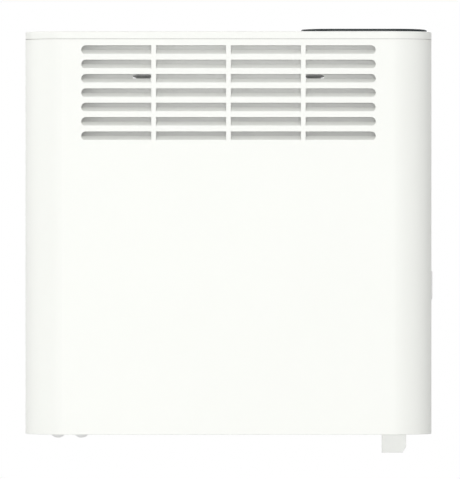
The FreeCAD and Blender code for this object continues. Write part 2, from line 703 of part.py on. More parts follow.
def switch_rocker():
    """Dished rocker with round ends about its trunnions, lower half out at rest."""
    pivot = vec(HALF_W - ROCKER_PIVOT, SWITCH_Y, SWITCH_Z)
    half_w = WELL_W / 2 - CLEAR
    rise = ROCKER_PIVOT + ROCKER_END_RISE
    end_z = math.sqrt(ROCKER_REACH ** 2 - rise ** 2)
    low_x = -ROCKER_PIVOT / 2
    low_z = math.sqrt(ROCKER_REACH ** 2 - low_x ** 2)
    nose = 2 * TRUNNION_R

    def at(x, z):
        return pivot + vec(x, -half_w, z)

    edges = [Part.Arc(at(rise, end_z), at(rise - ROCKER_DISH, 0), at(rise, -end_z)).toShape(),
             Part.Arc(at(rise, -end_z), at(0, -ROCKER_REACH), at(low_x, -low_z)).toShape(),
             Part.makeLine(at(low_x, -low_z), at(low_x - nose, -nose)),
             Part.Arc(at(low_x - nose, -nose), at(low_x - 1.5 * nose, 0), at(low_x - nose, nose)).toShape(),
             Part.makeLine(at(low_x - nose, nose), at(low_x, low_z)),
             Part.Arc(at(low_x, low_z), at(0, ROCKER_REACH), at(rise, end_z)).toShape()]
    body = Part.Face(Part.Wire(edges)).extrude(vec(0, 2 * half_w, 0))
    reach = vec(0, WELL_W / 2 + TRUNNION_L - CLEAR, 0)
    body = body.fuse(rod(pivot - reach, pivot + reach, TRUNNION_R)).removeSplitter()
    body.rotate(pivot, vec(0, 1, 0), -ROCKER_TILT)
    return body


def bead(cx, cz, length):
    """Tapered stiffening bead pressed out of the rear panel towards the wall."""
    def outline(shrink, y):
        half_l = length / 2 - shrink
        half_h = BEAD_H / 2 - shrink
        return upright_outline(cx - half_l, cx + half_l, cz - half_h, cz + half_h, half_h, y)

    def pressed(shrink, y):
        return Part.makeLoft([outline(shrink, y), outline(shrink + BEAD_TAPER, y + BEAD_RISE)], True)

    return pressed(0, REAR_BACK_Y), pressed(SHEET, REAR_FRONT_Y)


def bead_places():
    places = []
    for row in range(BEAD_ROWS):
        z = BEAD_FIRST + row * BEAD_PITCH
        places.append((0, z, BEAD_L))
        places.append((-SIDE_BEAD_X, z, SIDE_BEAD_L))
        places.append((SIDE_BEAD_X, z, SIDE_BEAD_L))
    return places


def rear_panel():
    side = HALF_W - SHEET - CLEAR
    plate = block(-side, side, REAR_FRONT_Y, REAR_BACK_Y, 0, CASING_TOP)
    beads = [bead(*place) for place in bead_places()]
    plate = plate.multiFuse([outer for outer, inner in beads])
    plate = plate.cut(Part.makeCompound([inner for outer, inner in beads]))
    before = REAR_FRONT_Y - SHEET
    behind = REAR_BACK_Y + SHEET
    cutters = [rear_screw_holes()]
    half_slot = RAIL_T / 2 + TONGUE_SLOT_CLEAR
    half_tall = TONGUE_H / 2 + TONGUE_SLOT_CLEAR
    for end in (-1, 1):
        middle = end * HOOK_X
        hang = upright_outline(middle - HANG_SLOT_W / 2, middle + HANG_SLOT_W / 2, HOOK_Z - HANG_SLOT_H / 2,
                               HOOK_Z + HANG_SLOT_H / 2, HANG_SLOT_R, before)
        cutters.append(Part.Face(hang).extrude(vec(0, behind - before, 0)))
        tongue = end * LATCH_CX
        cutters.append(block(tongue - half_slot, tongue + half_slot, before, behind,
                             RAIL_LOWER_Z - half_tall, RAIL_LOWER_Z + half_tall))
    return plate.cut(Part.makeCompound(cutters))


def intake_cutters():
    room = SHAFT_RIGHT - SHAFT_LEFT - 2 * INTAKE_PITCH
    count = int(room / INTAKE_PITCH) + 1
    middle = (SHAFT_LEFT + SHAFT_RIGHT) / 2
    y0 = SHIELD_Y + INTAKE_MARGIN
    y1 = REAR_FRONT_Y - INTAKE_MARGIN
    slots = []
    for i in range(count):
        x = middle + (i - (count - 1) / 2) * INTAKE_PITCH
        outline = rounded_rect(x - INTAKE_W / 2, x + INTAKE_W / 2, y0, y1, INTAKE_W / 2)
        slots.append(prism(outline, 0, FLOOR_Z + SHEET))
    return slots


def base_plate():
    plate = prism(plan_outline(SHEET + CLEAR, REAR_FRONT_Y), SHEET, FLOOR_Z)
    side = HALF_W - RETURN_W
    flange = block(-side, side, REAR_FRONT_Y - SHEET, REAR_FRONT_Y, SHEET, FLOOR_Z + BASE_FLANGE_H)
    half_w = LATCH_W / 2 + CLEAR
    latch_slot = block(LATCH_CX - half_w, LATCH_CX + half_w, LATCH_Y0 - CLEAR, LATCH_Y1 + CLEAR,
                       0, FLOOR_Z + SHEET)
    cutters = intake_cutters() + [latch_slot, rear_screw_holes()]
    for x in grommet_places():
        cutters.append(rod(vec(x, GROMMET_Y, 0), vec(x, GROMMET_Y, FLOOR_Z + SHEET), GROMMET_HOLE_R))
    guide_half = LATCH_W / 2 + LATCH_SHOULDER + CLEAR + GUIDE_POST + CLEAR
    cutters.append(block(LATCH_CX - guide_half, LATCH_CX + guide_half, REAR_FRONT_Y - 2 * SHEET,
                         REAR_FRONT_Y, FLOOR_Z, FLOOR_Z + BASE_FLANGE_H + SHEET))
    return plate.fuse(flange).cut(Part.makeCompound(cutters)).removeSplitter()


def grommet_places():
    return [-HALF_W + GROMMET_X, -HALF_W + GROMMET_X + GROMMET_PITCH]


def cable_grommet(x):
    """Blind rubber grommet: a groove that grips the base plate, and a closed dome below."""
    lower = SHEET - FIT / 2
    upper = FLOOR_Z + FIT / 2
    top = FLOOR_Z + GROMMET_TOP
    neck = GROMMET_HOLE_R - FIT
    bore = neck - GROMMET_WALL
    rim = neck + GROMMET_WALL
    height = lower + GROMMET_DROP
    sphere = (GROMMET_R ** 2 + height ** 2) / (2 * height)
    half = math.asin(GROMMET_R / sphere) / 2
    points = [vec(0, 0, lower), vec(bore, 0, lower), vec(bore, 0, top), vec(rim, 0, top),
              vec(rim, 0, upper), vec(neck, 0, upper), vec(neck, 0, lower), vec(GROMMET_R, 0, lower)]
    apex = vec(0, 0, -GROMMET_DROP)
    middle = apex + vec(sphere * math.sin(half), 0, sphere * (1 - math.cos(half)))
    body = spun(points, vec(0, 0, 1), Part.Arc(points[-1], middle, apex).toShape())
    body.translate(vec(x, GROMMET_Y, 0))
    return body


def heat_shield():
    points = [(SHIELD_Y, SHIELD_FOOT), (SHIELD_Y, SHIELD_TOP - SHIELD_LIP),
              (SHIELD_Y - SHIELD_LIP, SHIELD_TOP)]
    x0 = SHAFT_LEFT - FLANGE_W
    x1 = SHAFT_RIGHT + FLANGE_W
    profile = bent_profile(points, -INNER_SHEET, SHEET_BEND_R, lambda y, z: vec(x0, y, z))
    return profile.extrude(vec(x1 - x0, 0, 0))


def baffle(x, side):
    """Side wall of the air shaft, with flanges turned outwards and a shelf over the bay beside it."""
    out = x + side * FLANGE_W
    points = [(out, BAFFLE_FRONT_Y), (x, BAFFLE_FRONT_Y), (x, REAR_FRONT_Y), (out, REAR_FRONT_Y)]
    profile = bent_profile(points, side * -INNER_SHEET, SHEET_BEND_R, lambda a, b: vec(a, b, FLOOR_Z))
    wall = profile.extrude(vec(0, 0, BAFFLE_TOP - FLOOR_Z))
    x0, x1 = sorted((x, side * HALF_W))
    shelf = prism(plan_outline(SHEET + CLEAR, REAR_FRONT_Y), BAFFLE_TOP - INNER_SHEET, BAFFLE_TOP)
    wall = wall.fuse(shelf.common(block(x0, x1, FRONT_Y, BACK_Y, 0, CASE_H)))
    across = vec(2 * FLANGE_W, 0, 0)
    bush = vec(x, ELEMENT_Y, ELEMENT_Z)
    cable = vec(x, HARNESS_Y, HARNESS_Z)
    holes = [rod(bush - across, bush + across, BUSH_R + FIT),
             rod(cable - across, cable + across, HARNESS_R + GLAND_CLEAR)]
    reach = FLANGE_W + SHEET
    notch_top = FLOOR_Z + max(BASE_FLANGE_H, GUIDE_H) + CLEAR
    notch = block(x - reach, x + reach, REAR_FRONT_Y - 2 * SHEET, REAR_FRONT_Y, 0, notch_top)
    return wall.cut(Part.makeCompound(holes + [notch])).removeSplitter()


def ribbon_slot():
    """Opening for the flat cable in the shelf over the right bay."""
    return block(POWER_X - GLAND_CLEAR, POWER_X + RIBBON_T + GLAND_CLEAR, PANEL_CY - GLAND_CLEAR,
                 PANEL_CY + RIBBON_W + GLAND_CLEAR, SHIELD_TOP, BAFFLE_TOP + SHEET)


def air_deflector():
    """Roof over the louvred outlet, which turns the warm air out to the room."""
    foot = DEFLECTOR_Z + DEFLECTOR_FOOT
    points = [(REAR_FRONT_Y, DEFLECTOR_Z), (REAR_FRONT_Y, foot),
              (FRONT_Y + DEFLECTOR_GAP, foot + DEFLECTOR_RISE)]
    half = LOUVRE_W / 2 + FLANGE_W
    profile = bent_profile(points, INNER_SHEET, SHEET_BEND_R, lambda y, z: vec(-half, y, z))
    return profile.extrude(vec(2 * half, 0, 0))


def element_tube():
    start = vec(SHAFT_LEFT - ELEMENT_TAIL, ELEMENT_Y, ELEMENT_Z)
    end = vec(SHAFT_RIGHT + ELEMENT_TAIL, ELEMENT_Y, ELEMENT_Z)
    pin = vec(PIN_L, 0, 0)
    return rod(start, end, ELEMENT_R).fuse(rod(start - pin, end + pin, PIN_R))


def element_fins():
    room = SHAFT_RIGHT - SHAFT_LEFT - 2 * FIN_MARGIN
    count = int(room / FIN_PITCH) + 1
    middle = (SHAFT_LEFT + SHAFT_RIGHT) / 2
    first = middle - (count - 1) / 2 * FIN_PITCH
    fin = block(-FIN_T / 2, FIN_T / 2, ELEMENT_Y - FIN_D / 2, ELEMENT_Y + FIN_D / 2,
                ELEMENT_Z - FIN_H / 2, ELEMENT_Z + FIN_H / 2)
    across = vec(FIN_PITCH, 0, 0)
    centre = vec(0, ELEMENT_Y, ELEMENT_Z)
    fin = fin.cut(rod(centre - across, centre + across, ELEMENT_R + FIT))
    fins = []
    for i in range(count):
        copy = fin.copy()
        copy.translate(vec(first + i * FIN_PITCH, 0, 0))
        fins.append(copy)
    return Part.makeCompound(fins)


def element_bush(x, side):
    """Flanged ceramic bush that carries the tube in a baffle."""
    seat = vec(x + side * INNER_SHEET, ELEMENT_Y, ELEMENT_Z)
    nose = vec(x - side * BUSH_NOSE, ELEMENT_Y, ELEMENT_Z)
    flange = vec(seat.x + side * BUSH_FLANGE_T, ELEMENT_Y, ELEMENT_Z)
    body = rod(nose, flange, BUSH_R).fuse(rod(seat, flange, BUSH_FLANGE_R))
    past = vec(FLANGE_W, 0, 0)
    return body.cut(rod(seat - past, seat + past, ELEMENT_R + FIT)).removeSplitter()


def thermal_cutout():
    """Bimetal safety switch on the right baffle, with its two spade tabs."""
    foot = vec(BAY_FACE, ELEMENT_Y, CUTOUT_Z)
    ear = block(BAY_FACE, BAY_FACE + CUTOUT_EAR_T, ELEMENT_Y - CUTOUT_R / 2, ELEMENT_Y + CUTOUT_R / 2,
                CUTOUT_Z - CUTOUT_EAR / 2, CUTOUT_Z + CUTOUT_EAR / 2)
    top = BAY_FACE + CUTOUT_H
    can = rod(foot, vec(top, ELEMENT_Y, CUTOUT_Z), CUTOUT_R)
    tabs = []
    for side in (-1, 1):
        y = ELEMENT_Y + side * CUTOUT_R / 2
        tabs.append(block(top - SHEET, top + TAB_L, y - TAB_T / 2, y + TAB_T / 2,
                          CUTOUT_Z - TAB_W / 2, CUTOUT_Z + TAB_W / 2))
    return can.multiFuse([ear] + tabs).removeSplitter()


def spacer_places():
    return [(y, z) for y in (POWER_Y0 + SPACER_INSET, POWER_Y1 - SPACER_INSET)
            for z in (POWER_BOARD_Z + SPACER_INSET, POWER_BOARD_Z + POWER_BOARD_H - SPACER_INSET)]


def board_spacers():
    spacers = [rod(vec(BAY_FACE, y, z), vec(POWER_X, y, z), SPACER_R) for y, z in spacer_places()]
    return Part.makeCompound(spacers)


def power_board():
    """Circuit board with its relay, transformer, capacitors and terminal strip."""
    face = POWER_X + BOARD_T
    sunk = POWER_X + BOARD_T / 2
    z0 = POWER_BOARD_Z
    z1 = z0 + POWER_BOARD_H
    board = block(POWER_X, face, POWER_Y0, POWER_Y1, z0, z1)
    relay_y = POWER_Y0 + PART_MARGIN
    relay = block(sunk, face + RELAY_RISE, relay_y, relay_y + RELAY_W, z0 + STRIP_D, z0 + STRIP_D + RELAY_L)
    core_y = POWER_Y1 - PART_MARGIN
    core_z = z1 - 2 * PART_MARGIN
    core = block(sunk, face + CORE_RISE, core_y - CORE_W, core_y, core_z - CORE_L, core_z)
    strip_z = z0 + STRIP_D / 3
    strip = block(sunk, face + STRIP_RISE, core_y - STRIP_L, core_y, strip_z, strip_z + STRIP_D)
    can_y = relay_y + CAN_R
    cans = []
    for i in range(2):
        z = core_z - CORE_L / 2 + (i - 0.5) * CAN_PITCH
        cans.append(rod(vec(sunk, can_y, z), vec(face + CAN_RISE, can_y, z), CAN_R))
    return board.multiFuse([relay, core, strip] + cans)


def terminal_block():
    """Three-way supply terminal on the rear panel."""
    x0 = -HALF_W + TERMINAL_INSET
    x1 = x0 + TERMINAL_W
    y0 = REAR_FRONT_Y - TERMINAL_D
    z1 = TERMINAL_Z + TERMINAL_H
    body = block(x0, x1, y0, REAR_FRONT_Y, TERMINAL_Z, z1)
    pitch = TERMINAL_W / TERMINAL_WAYS
    ways = []
    mid_y = y0 + TERMINAL_D / 2
    for i in range(TERMINAL_WAYS):
        x = x0 + (i + 0.5) * pitch
        ways.append(rod(vec(x, mid_y, TERMINAL_Z - SHEET), vec(x, mid_y, TERMINAL_Z + TERMINAL_H / 3),
                        TERMINAL_WAY_R))
        ways.append(rod(vec(x, y0 - SHEET, z1 - TERMINAL_H / 4), vec(x, mid_y, z1 - TERMINAL_H / 4),
                        TERMINAL_WAY_R))
    return body.cut(Part.makeCompound(ways))


def room_sensor():
    """Sensor bead on a stalk, in the cool air over the base plate."""
    x = HALF_W - SENSOR_INSET
    y = FRONT_Y + SENSOR_SETBACK
    bead_z = SENSOR_H - 2 * SENSOR_BEAD_R
    points = [vec(0, 0, 0), vec(SENSOR_CLIP_R, 0, 0), vec(SENSOR_CLIP_R, 0, SENSOR_CLIP_H),
              vec(SENSOR_STALK_R, 0, SENSOR_CLIP_H), vec(SENSOR_STALK_R, 0, bead_z),
              vec(SENSOR_BEAD_R, 0, bead_z), vec(SENSOR_BEAD_R, 0, SENSOR_H - SENSOR_BEAD_R),
              vec(0, 0, SENSOR_H)]
    body = spun(points, vec(0, 0, 1))
    body.translate(vec(x, y, FLOOR_Z))
    return body


def supply_harness():
    """Sleeved wires from the supply terminal to the mains switch."""
    x0 = -HALF_W + TERMINAL_INSET + TERMINAL_W * (1 - 0.5 / TERMINAL_WAYS)
    x1 = HALF_W - SWITCH_DEPTH - TAB_L - HARNESS_R - CLEAR
    turn_z = SWITCH_Z - SWITCH_H
    points = [vec(x0, HARNESS_Y, TERMINAL_Z - LEAD_GAP), vec(x0, HARNESS_Y, HARNESS_Z),
              vec(x1, HARNESS_Y, HARNESS_Z), vec(x1, HARNESS_Y, turn_z), vec(x1, SWITCH_Y, SWITCH_Z)]
    return bent_tube(points, HARNESS_BEND_R, HARNESS_R)


def element_lead_left():
    x0 = SHAFT_LEFT - ELEMENT_TAIL - PIN_L - LEAD_GAP
    x1 = -HALF_W + TERMINAL_INSET + TERMINAL_W * 0.5 / TERMINAL_WAYS
    z1 = TERMINAL_Z + TERMINAL_H * 3 / 4
    points = [vec(x0, ELEMENT_Y, ELEMENT_Z), vec(x1, ELEMENT_Y, ELEMENT_Z), vec(x1, ELEMENT_Y, z1),
              vec(x1, REAR_FRONT_Y - TERMINAL_D - LEAD_GAP, z1)]
    return bent_tube(points, LEAD_BEND_R, LEAD_R)


def element_lead_right():
    x0 = SHAFT_RIGHT + ELEMENT_TAIL + PIN_L + LEAD_GAP
    x1 = x0 + 2 * LEAD_BEND_R
    x2 = POWER_X + BOARD_T / 2
    top = POWER_BOARD_Z - LEAD_GAP
    turn_z = (CUTOUT_Z + top) / 2
    points = [vec(x0, ELEMENT_Y, ELEMENT_Z), vec(x1, ELEMENT_Y, ELEMENT_Z), vec(x1, ELEMENT_Y, CUTOUT_Z),
              vec(x2, ELEMENT_Y, turn_z), vec(x2, ELEMENT_Y, top)]
    return bent_tube(points, LEAD_BEND_R, LEAD_R)


def panel_ribbon():
    """Flat cable from the power board up to the control board."""
    x0 = POWER_X
    x1 = PANEL_X1 - SEAT_LEDGE - 2 * BOSS_R
    start = POWER_BOARD_Z + POWER_BOARD_H + LEAD_GAP
    end = BOARD_UNDER - LEAD_GAP
    shoulder = end - RIBBON_W
    points = [(x0, start), (x0, shoulder - RIBBON_W), (x1, shoulder), (x1, end)]
    profile = bent_profile(points, -RIBBON_T, SHEET_BEND_R, lambda x, z: vec(x, PANEL_CY, z))
    return profile.extrude(vec(0, RIBBON_W, 0))


def rear_screw(seat):
    """Pan head screw, driven from behind."""
    points = [vec(0, -SCREW_L, 0), vec(SCREW_R, SCREW_R - SCREW_L, 0), vec(SCREW_R, 0, 0),
              vec(SCREW_HEAD_R, 0, 0), vec(SCREW_HEAD_R, SCREW_HEAD_H / 2, 0),
              vec(SCREW_HEAD_R - SCREW_HEAD_H / 2, SCREW_HEAD_H, 0), vec(0, SCREW_HEAD_H, 0)]
    body = spun(points, vec(0, 1, 0))
    body.translate(seat)
    return body


def rear_screws():
    return Part.makeCompound([rear_screw(seat) for seat in rear_screw_seats()])


def bracket_upright(side):
    """Hat section between the wall rails and the rear panel, with a hook at its top."""
    x = side * HOOK_X
    half = HAT_W / 2
    foot_y = -RAIL_T - BRACKET_T
    points = [(x - half - HAT_FOOT, foot_y), (x - half, foot_y), (x - half, REAR_BACK_Y),
              (x + half, REAR_BACK_Y), (x + half, foot_y), (x + half + HAT_FOOT, foot_y)]
    section = bent_profile(points, BRACKET_T, BRACKET_BEND_R, lambda a, b: vec(a, b, HAT_LOW))
    top = RAIL_UPPER_Z + RAIL_H / 2
    hat = section.extrude(vec(0, 0, top - HAT_LOW))
    lean = math.radians(HOOK_LEAN)
    hook_top = HOOK_Z + HANG_SLOT_H / 2 - FIT
    corner = hook_top - BRACKET_T / math.cos(lean) - SHEET * math.tan(lean)
    tip = REAR_FRONT_Y - HOOK_L
    strip = [(REAR_BACK_Y, top - HAT_FOOT), (REAR_BACK_Y, corner),
             (tip, corner + (HOOK_L + SHEET) * math.tan(lean))]
    start = x - HOOK_W / 2
    hook = bent_profile(strip, -BRACKET_T, BRACKET_BEND_R, lambda y, z: vec(start, y, z))
    widths = [(0, HOOK_NECK), (REAR_FRONT_Y - HOOK_FLARE, HOOK_NECK), (REAR_FRONT_Y - HOOK_WIDEST, HOOK_W),
              (tip - SHEET, HOOK_TIP)]
    outline = [plan(x - width / 2, y) for y, width in widths]
    outline += [plan(x + width / 2, y) for y, width in widths[::-1]]
    barb = prism(Part.makePolygon(outline + outline[:1]), HAT_LOW, CASE_H)
    return hat.fuse(hook.extrude(vec(HOOK_W, 0, 0)).common(barb)).removeSplitter()


def wall_holes(z):
    return Part.makeCompound([rod(vec(x, -2 * RAIL_T, z), vec(x, RAIL_T, z), WALL_HOLE_R)
                              for x in (-WALL_SCREW_X, WALL_SCREW_X)])


def wall_rail(z, half):
    """Flat bar on the wall, with a screw hole near each end."""
    outline = upright_outline(-half, half, z - RAIL_H / 2, z + RAIL_H / 2, RAIL_H / 3, -RAIL_T)
    return Part.Face(outline).extrude(vec(0, RAIL_T, 0)).cut(wall_holes(z))


def catch(side):
    """Angle on the lower rail. Its tongue passes into the heater and has a notch for a latch."""
    tip = REAR_FRONT_Y - TONGUE_L
    outer = side * TONGUE_X
    low = RAIL_LOWER_Z - TONGUE_H / 2
    points = [(outer - side * CATCH_FOOT, -RAIL_T), (outer, -RAIL_T), (outer, tip)]
    section = bent_profile(points, -side * RAIL_T, TONGUE_BEND_R, lambda a, b: vec(a, b, low))
    angle = section.extrude(vec(0, 0, TONGUE_H))
    inner = outer - side * 2 * RAIL_T
    x0, x1 = sorted((inner, outer + side * RAIL_T))
    notch = block(x0, x1, LATCH_Y0 - NOTCH_CLEAR, LATCH_Y1 + NOTCH_CLEAR, NOTCH_Z, TONGUE_TOP + SHEET)
    nose = Part.makePolygon([vec(x0, tip, TONGUE_TOP), vec(x0, tip + NOTCH_DEPTH, TONGUE_TOP),
                             vec(x0, tip, TONGUE_TOP - NOTCH_DEPTH), vec(x0, tip, TONGUE_TOP)])
    ramp = Part.Face(nose).extrude(vec(x1 - x0, 0, 0))
    return angle.cut(Part.makeCompound([notch, ramp]))


def release_latch():
    """Drop latch: its window sits over the tongue, and its tab hangs below the casing."""
    half = LATCH_W / 2
    wide = half + LATCH_SHOULDER
    x = LATCH_CX
    shoulder = FLOOR_Z + LATCH_REST
    low = -LATCH_DROP
    outline = [vec(x - half, LATCH_Y0, low), vec(x + half - LATCH_CHAMFER_X, LATCH_Y0, low),
               vec(x + half, LATCH_Y0, low + LATCH_CHAMFER_Z), vec(x + half, LATCH_Y0, shoulder),
               vec(x + wide, LATCH_Y0, shoulder), vec(x + wide, LATCH_Y0, LATCH_TOP),
               vec(x - wide, LATCH_Y0, LATCH_TOP), vec(x - wide, LATCH_Y0, shoulder),
               vec(x - half, LATCH_Y0, shoulder), vec(x - half, LATCH_Y0, low)]
    body = Part.Face(Part.makePolygon(outline)).extrude(vec(0, LATCH_T, 0))

    def on_tab(edge):
        middle = edge.valueAt((edge.FirstParameter + edge.LastParameter) / 2)
        return middle.z < 0 and abs(middle.y - LATCH_Y0) < 1e-6

    body = body.makeFillet(LATCH_EDGE_R, [edge for edge in body.Edges if on_tab(edge)])
    window_top = NOTCH_Z + CLEAR
    window_low = RAIL_LOWER_Z - TONGUE_H / 2 - LATCH_TRAVEL - NOTCH_CLEAR
    half_window = LATCH_WINDOW / 2
    return body.cut(block(x - half_window, x + half_window, LATCH_Y0 - SHEET, LATCH_Y1 + SHEET,
                          window_low, window_top))


def latch_guide():
    """Two grooved posts on a back plate, fixed to the rear panel."""
    inner = LATCH_W / 2 + LATCH_SHOULDER + CLEAR
    outer = inner + GUIDE_POST
    front = LATCH_Y0 - CLEAR - GUIDE_LIP
    top = FLOOR_Z + GUIDE_H
    x = LATCH_CX
    body = block(x - outer, x + outer, front, REAR_FRONT_Y, FLOOR_Z, top)
    mouth = inner - GUIDE_LIP
    slide = block(x - inner, x + inner, LATCH_Y0 - CLEAR, LATCH_Y1 + CLEAR, 0, CASE_H)
    opening = block(x - mouth, x + mouth, front - SHEET, REAR_FRONT_Y - GUIDE_BACK, 0, CASE_H)
    half_tongue = RAIL_T / 2 + TONGUE_SLOT_CLEAR
    tall = TONGUE_H / 2 + TONGUE_SLOT_CLEAR
    slot = block(x - half_tongue, x + half_tongue, front, 0, RAIL_LOWER_Z - tall, RAIL_LOWER_Z + tall)
    return body.cut(Part.makeCompound([slide, opening, slot])).removeSplitter()


def pieces():
    made = {
        "front_casing": front_casing(),
        "top_cover": top_cover(),
        "rear_panel": rear_panel(),
        "base_plate": base_plate(),
        "heat_shield": heat_shield(),
        "air_deflector": air_deflector(),
        "baffle_left": baffle(SHAFT_LEFT, -1),
        "baffle_right": baffle(SHAFT_RIGHT, 1).cut(ribbon_slot()),
        "element_tube": element_tube(),
        "element_fins": element_fins(),
        "element_bush_left": element_bush(SHAFT_LEFT, -1),
        "element_bush_right": element_bush(SHAFT_RIGHT, 1),
        "thermal_cutout": thermal_cutout(),
        "power_board": power_board(),
        "board_spacers": board_spacers(),
        "control_panel": control_panel(),
        "display_lens": display_lens(),
        "lcd_module": lcd_module(),
        "control_board": control_board(),
        "board_screws": board_screws(),
        "switch_body": switch_body(),
        "switch_rocker": switch_rocker(),
        "terminal_block": terminal_block(),
        "room_sensor": room_sensor(),
        "supply_harness": supply_harness(),
        "element_lead_left": element_lead_left(),
        "element_lead_right": element_lead_right(),
        "panel_ribbon": panel_ribbon(),
        "rear_screws": rear_screws(),
        "latch_guide": latch_guide(),
        "release_latch": release_latch(),
        "wall_rail_upper": wall_rail(RAIL_UPPER_Z, WALL_SCREW_X + RAIL_OVERHANG),
        "wall_rail_lower": wall_rail(RAIL_LOWER_Z, TONGUE_X + RAIL_T),
        "catch_left": catch(-1),
        "catch_right": catch(1),
        "bracket_upright_left": bracket_upright(-1),
        "bracket_upright_right": bracket_upright(1),
    }
    for name, x in zip(("cable_grommet_left", "cable_grommet_right"), grommet_places()):
        made[name] = cable_grommet(x)
    for name, x in key_places().items():
        made[name] = key(x)
    return made


os.makedirs("parts", exist_ok=True)
for node, shape in pieces().items():
    shape.translate(vec(0, 0, -PATTERN_Z))
    shape.exportStep("parts/" + node + ".step")
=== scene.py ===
import json
import math

import bpy
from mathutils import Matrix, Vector


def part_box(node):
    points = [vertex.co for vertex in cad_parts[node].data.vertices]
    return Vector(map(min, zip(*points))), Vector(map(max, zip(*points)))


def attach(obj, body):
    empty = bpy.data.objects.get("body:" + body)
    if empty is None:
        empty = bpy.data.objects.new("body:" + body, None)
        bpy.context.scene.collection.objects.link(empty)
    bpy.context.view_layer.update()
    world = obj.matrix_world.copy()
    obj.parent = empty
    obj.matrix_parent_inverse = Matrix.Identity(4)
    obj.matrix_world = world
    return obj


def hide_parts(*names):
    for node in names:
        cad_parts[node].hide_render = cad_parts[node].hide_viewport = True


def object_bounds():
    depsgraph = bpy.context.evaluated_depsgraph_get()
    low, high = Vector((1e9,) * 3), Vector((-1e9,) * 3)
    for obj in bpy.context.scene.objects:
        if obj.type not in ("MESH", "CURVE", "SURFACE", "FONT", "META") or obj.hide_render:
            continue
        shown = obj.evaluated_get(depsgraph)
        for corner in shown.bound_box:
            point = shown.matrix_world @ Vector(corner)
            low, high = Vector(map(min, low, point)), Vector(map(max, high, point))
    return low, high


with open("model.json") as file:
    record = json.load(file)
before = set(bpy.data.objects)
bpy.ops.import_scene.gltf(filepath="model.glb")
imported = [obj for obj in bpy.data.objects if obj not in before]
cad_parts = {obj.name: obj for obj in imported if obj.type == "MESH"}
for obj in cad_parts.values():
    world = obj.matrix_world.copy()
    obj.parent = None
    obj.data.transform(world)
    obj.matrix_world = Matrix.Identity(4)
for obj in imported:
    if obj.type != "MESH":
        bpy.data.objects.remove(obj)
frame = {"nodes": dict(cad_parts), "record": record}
cad_low, cad_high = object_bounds()

MM = 0.001
QUARTER = math.radians(90)

# The photograph: its height in pixels, its pixels to a millimetre on the casing's front, and the eye
PHOTO_H = 479
PHOTO_SCALE = 0.897
VIEW_DISTANCE = 7.5
VIEW_X = 1.7 * MM
VIEW_Z = 17.2 * MM
CLIP_END = 100.0
SENSOR_MM = 36.0

# The floor, which fades into the surround between two distances, and the light of the surround.
# The lift is the share of an even tone in what the eye sees of the floor.
FLOOR_DROP = 0.30
FLOOR_SIZE = 13.0
FLOOR_ROUGH = 0.8
FLOOR_LIFT = 0.8
FADE_FROM = 3.6
FADE_TO = 6.3
AMBIENT = 0.32

# Each lamp: its place, its width and height, and its power. All of them point at the origin.
LAMPS = {
    "front": ((0.0, -8.2, 0.05), (0.6, 0.08), 154.0),
    "flank": ((-1.2, -8.2, 0.05), (1.8, 0.08), 59.0),
    "upper": ((-0.6, -4.2, 3.6), (2.0, 1.2), 56.0),
    "left": ((-3.0, 0.0, 1.8), (2.0, 1.6), 33.5),
    "right": ((3.2, -1.9, 0.9), (2.0, 1.8), 9.0),
    "top": ((0.0, 1.1, 2.6), (2.0, 1.6), 8.0),
    "rear": ((0.8, 4.6, 1.8), (2.4, 1.8), 65.0),
}

# Colours. A pair holds the two tones that a pattern mixes.
WHITE = (1.0, 1.0, 1.0)
FLOOR_TONE = (0.83, 0.83, 0.83)
FLOOR_PAINT = (0.86, 0.86, 0.86), (0.88, 0.88, 0.88)
ENAMEL = (0.905, 0.915, 0.875), (0.925, 0.935, 0.895)
MOULDING = (0.90, 0.91, 0.87), (0.92, 0.93, 0.89)
# Painted shade for the joint between the cover and the casing
SEAM_SHADE = (0.50, 0.50, 0.47)
BRACKET_GREY = (0.44, 0.44, 0.442), (0.48, 0.48, 0.482)
ZINC = (0.52, 0.535, 0.55), (0.78, 0.785, 0.79)
INNER_WHITE = (0.88, 0.885, 0.86), (0.91, 0.915, 0.885)
SLATE = (0.020, 0.027, 0.029), (0.027, 0.035, 0.038)
LENS = (0.03, 0.035, 0.036)
CRYSTAL = (0.40, 0.46, 0.40), (0.47, 0.53, 0.46)
PIXEL_LINE = (0.30, 0.35, 0.31)
DISPLAY_RIM = (0.05, 0.055, 0.06)
RESIST = (0.012, 0.085, 0.040)
TRACK = (0.030, 0.150, 0.070)
SOLDER = (0.62, 0.62, 0.58)
ALUMINIUM = (0.74, 0.745, 0.75), (0.84, 0.845, 0.85)
HEATED_STEEL = (0.42, 0.36, 0.28), (0.46, 0.47, 0.52)
RIBBON_GREY = (0.50, 0.51, 0.52), (0.28, 0.29, 0.30)
RIBBON_EDGE = (0.35, 0.05, 0.05)
PLATING = (0.58, 0.58, 0.55), (0.76, 0.76, 0.74)
SLEEVE = (0.04, 0.04, 0.042), (0.10, 0.10, 0.105)
KEY_GREY = (0.060, 0.064, 0.068), (0.075, 0.080, 0.085)
SWITCH_WHITE = (0.85, 0.852, 0.85), (0.89, 0.892, 0.89)
CERAMIC = (0.78, 0.75, 0.68), (0.88, 0.86, 0.80)
PHENOLIC = (0.030, 0.026, 0.022), (0.060, 0.050, 0.042)
NYLON = (0.72, 0.71, 0.65), (0.80, 0.79, 0.74)
RUBBER = (0.80, 0.802, 0.79), (0.85, 0.852, 0.84)
PALE_INK = (0.62, 0.64, 0.65)
DARK_INK = (0.035, 0.045, 0.040)
GREY_INK = (0.16, 0.165, 0.17)

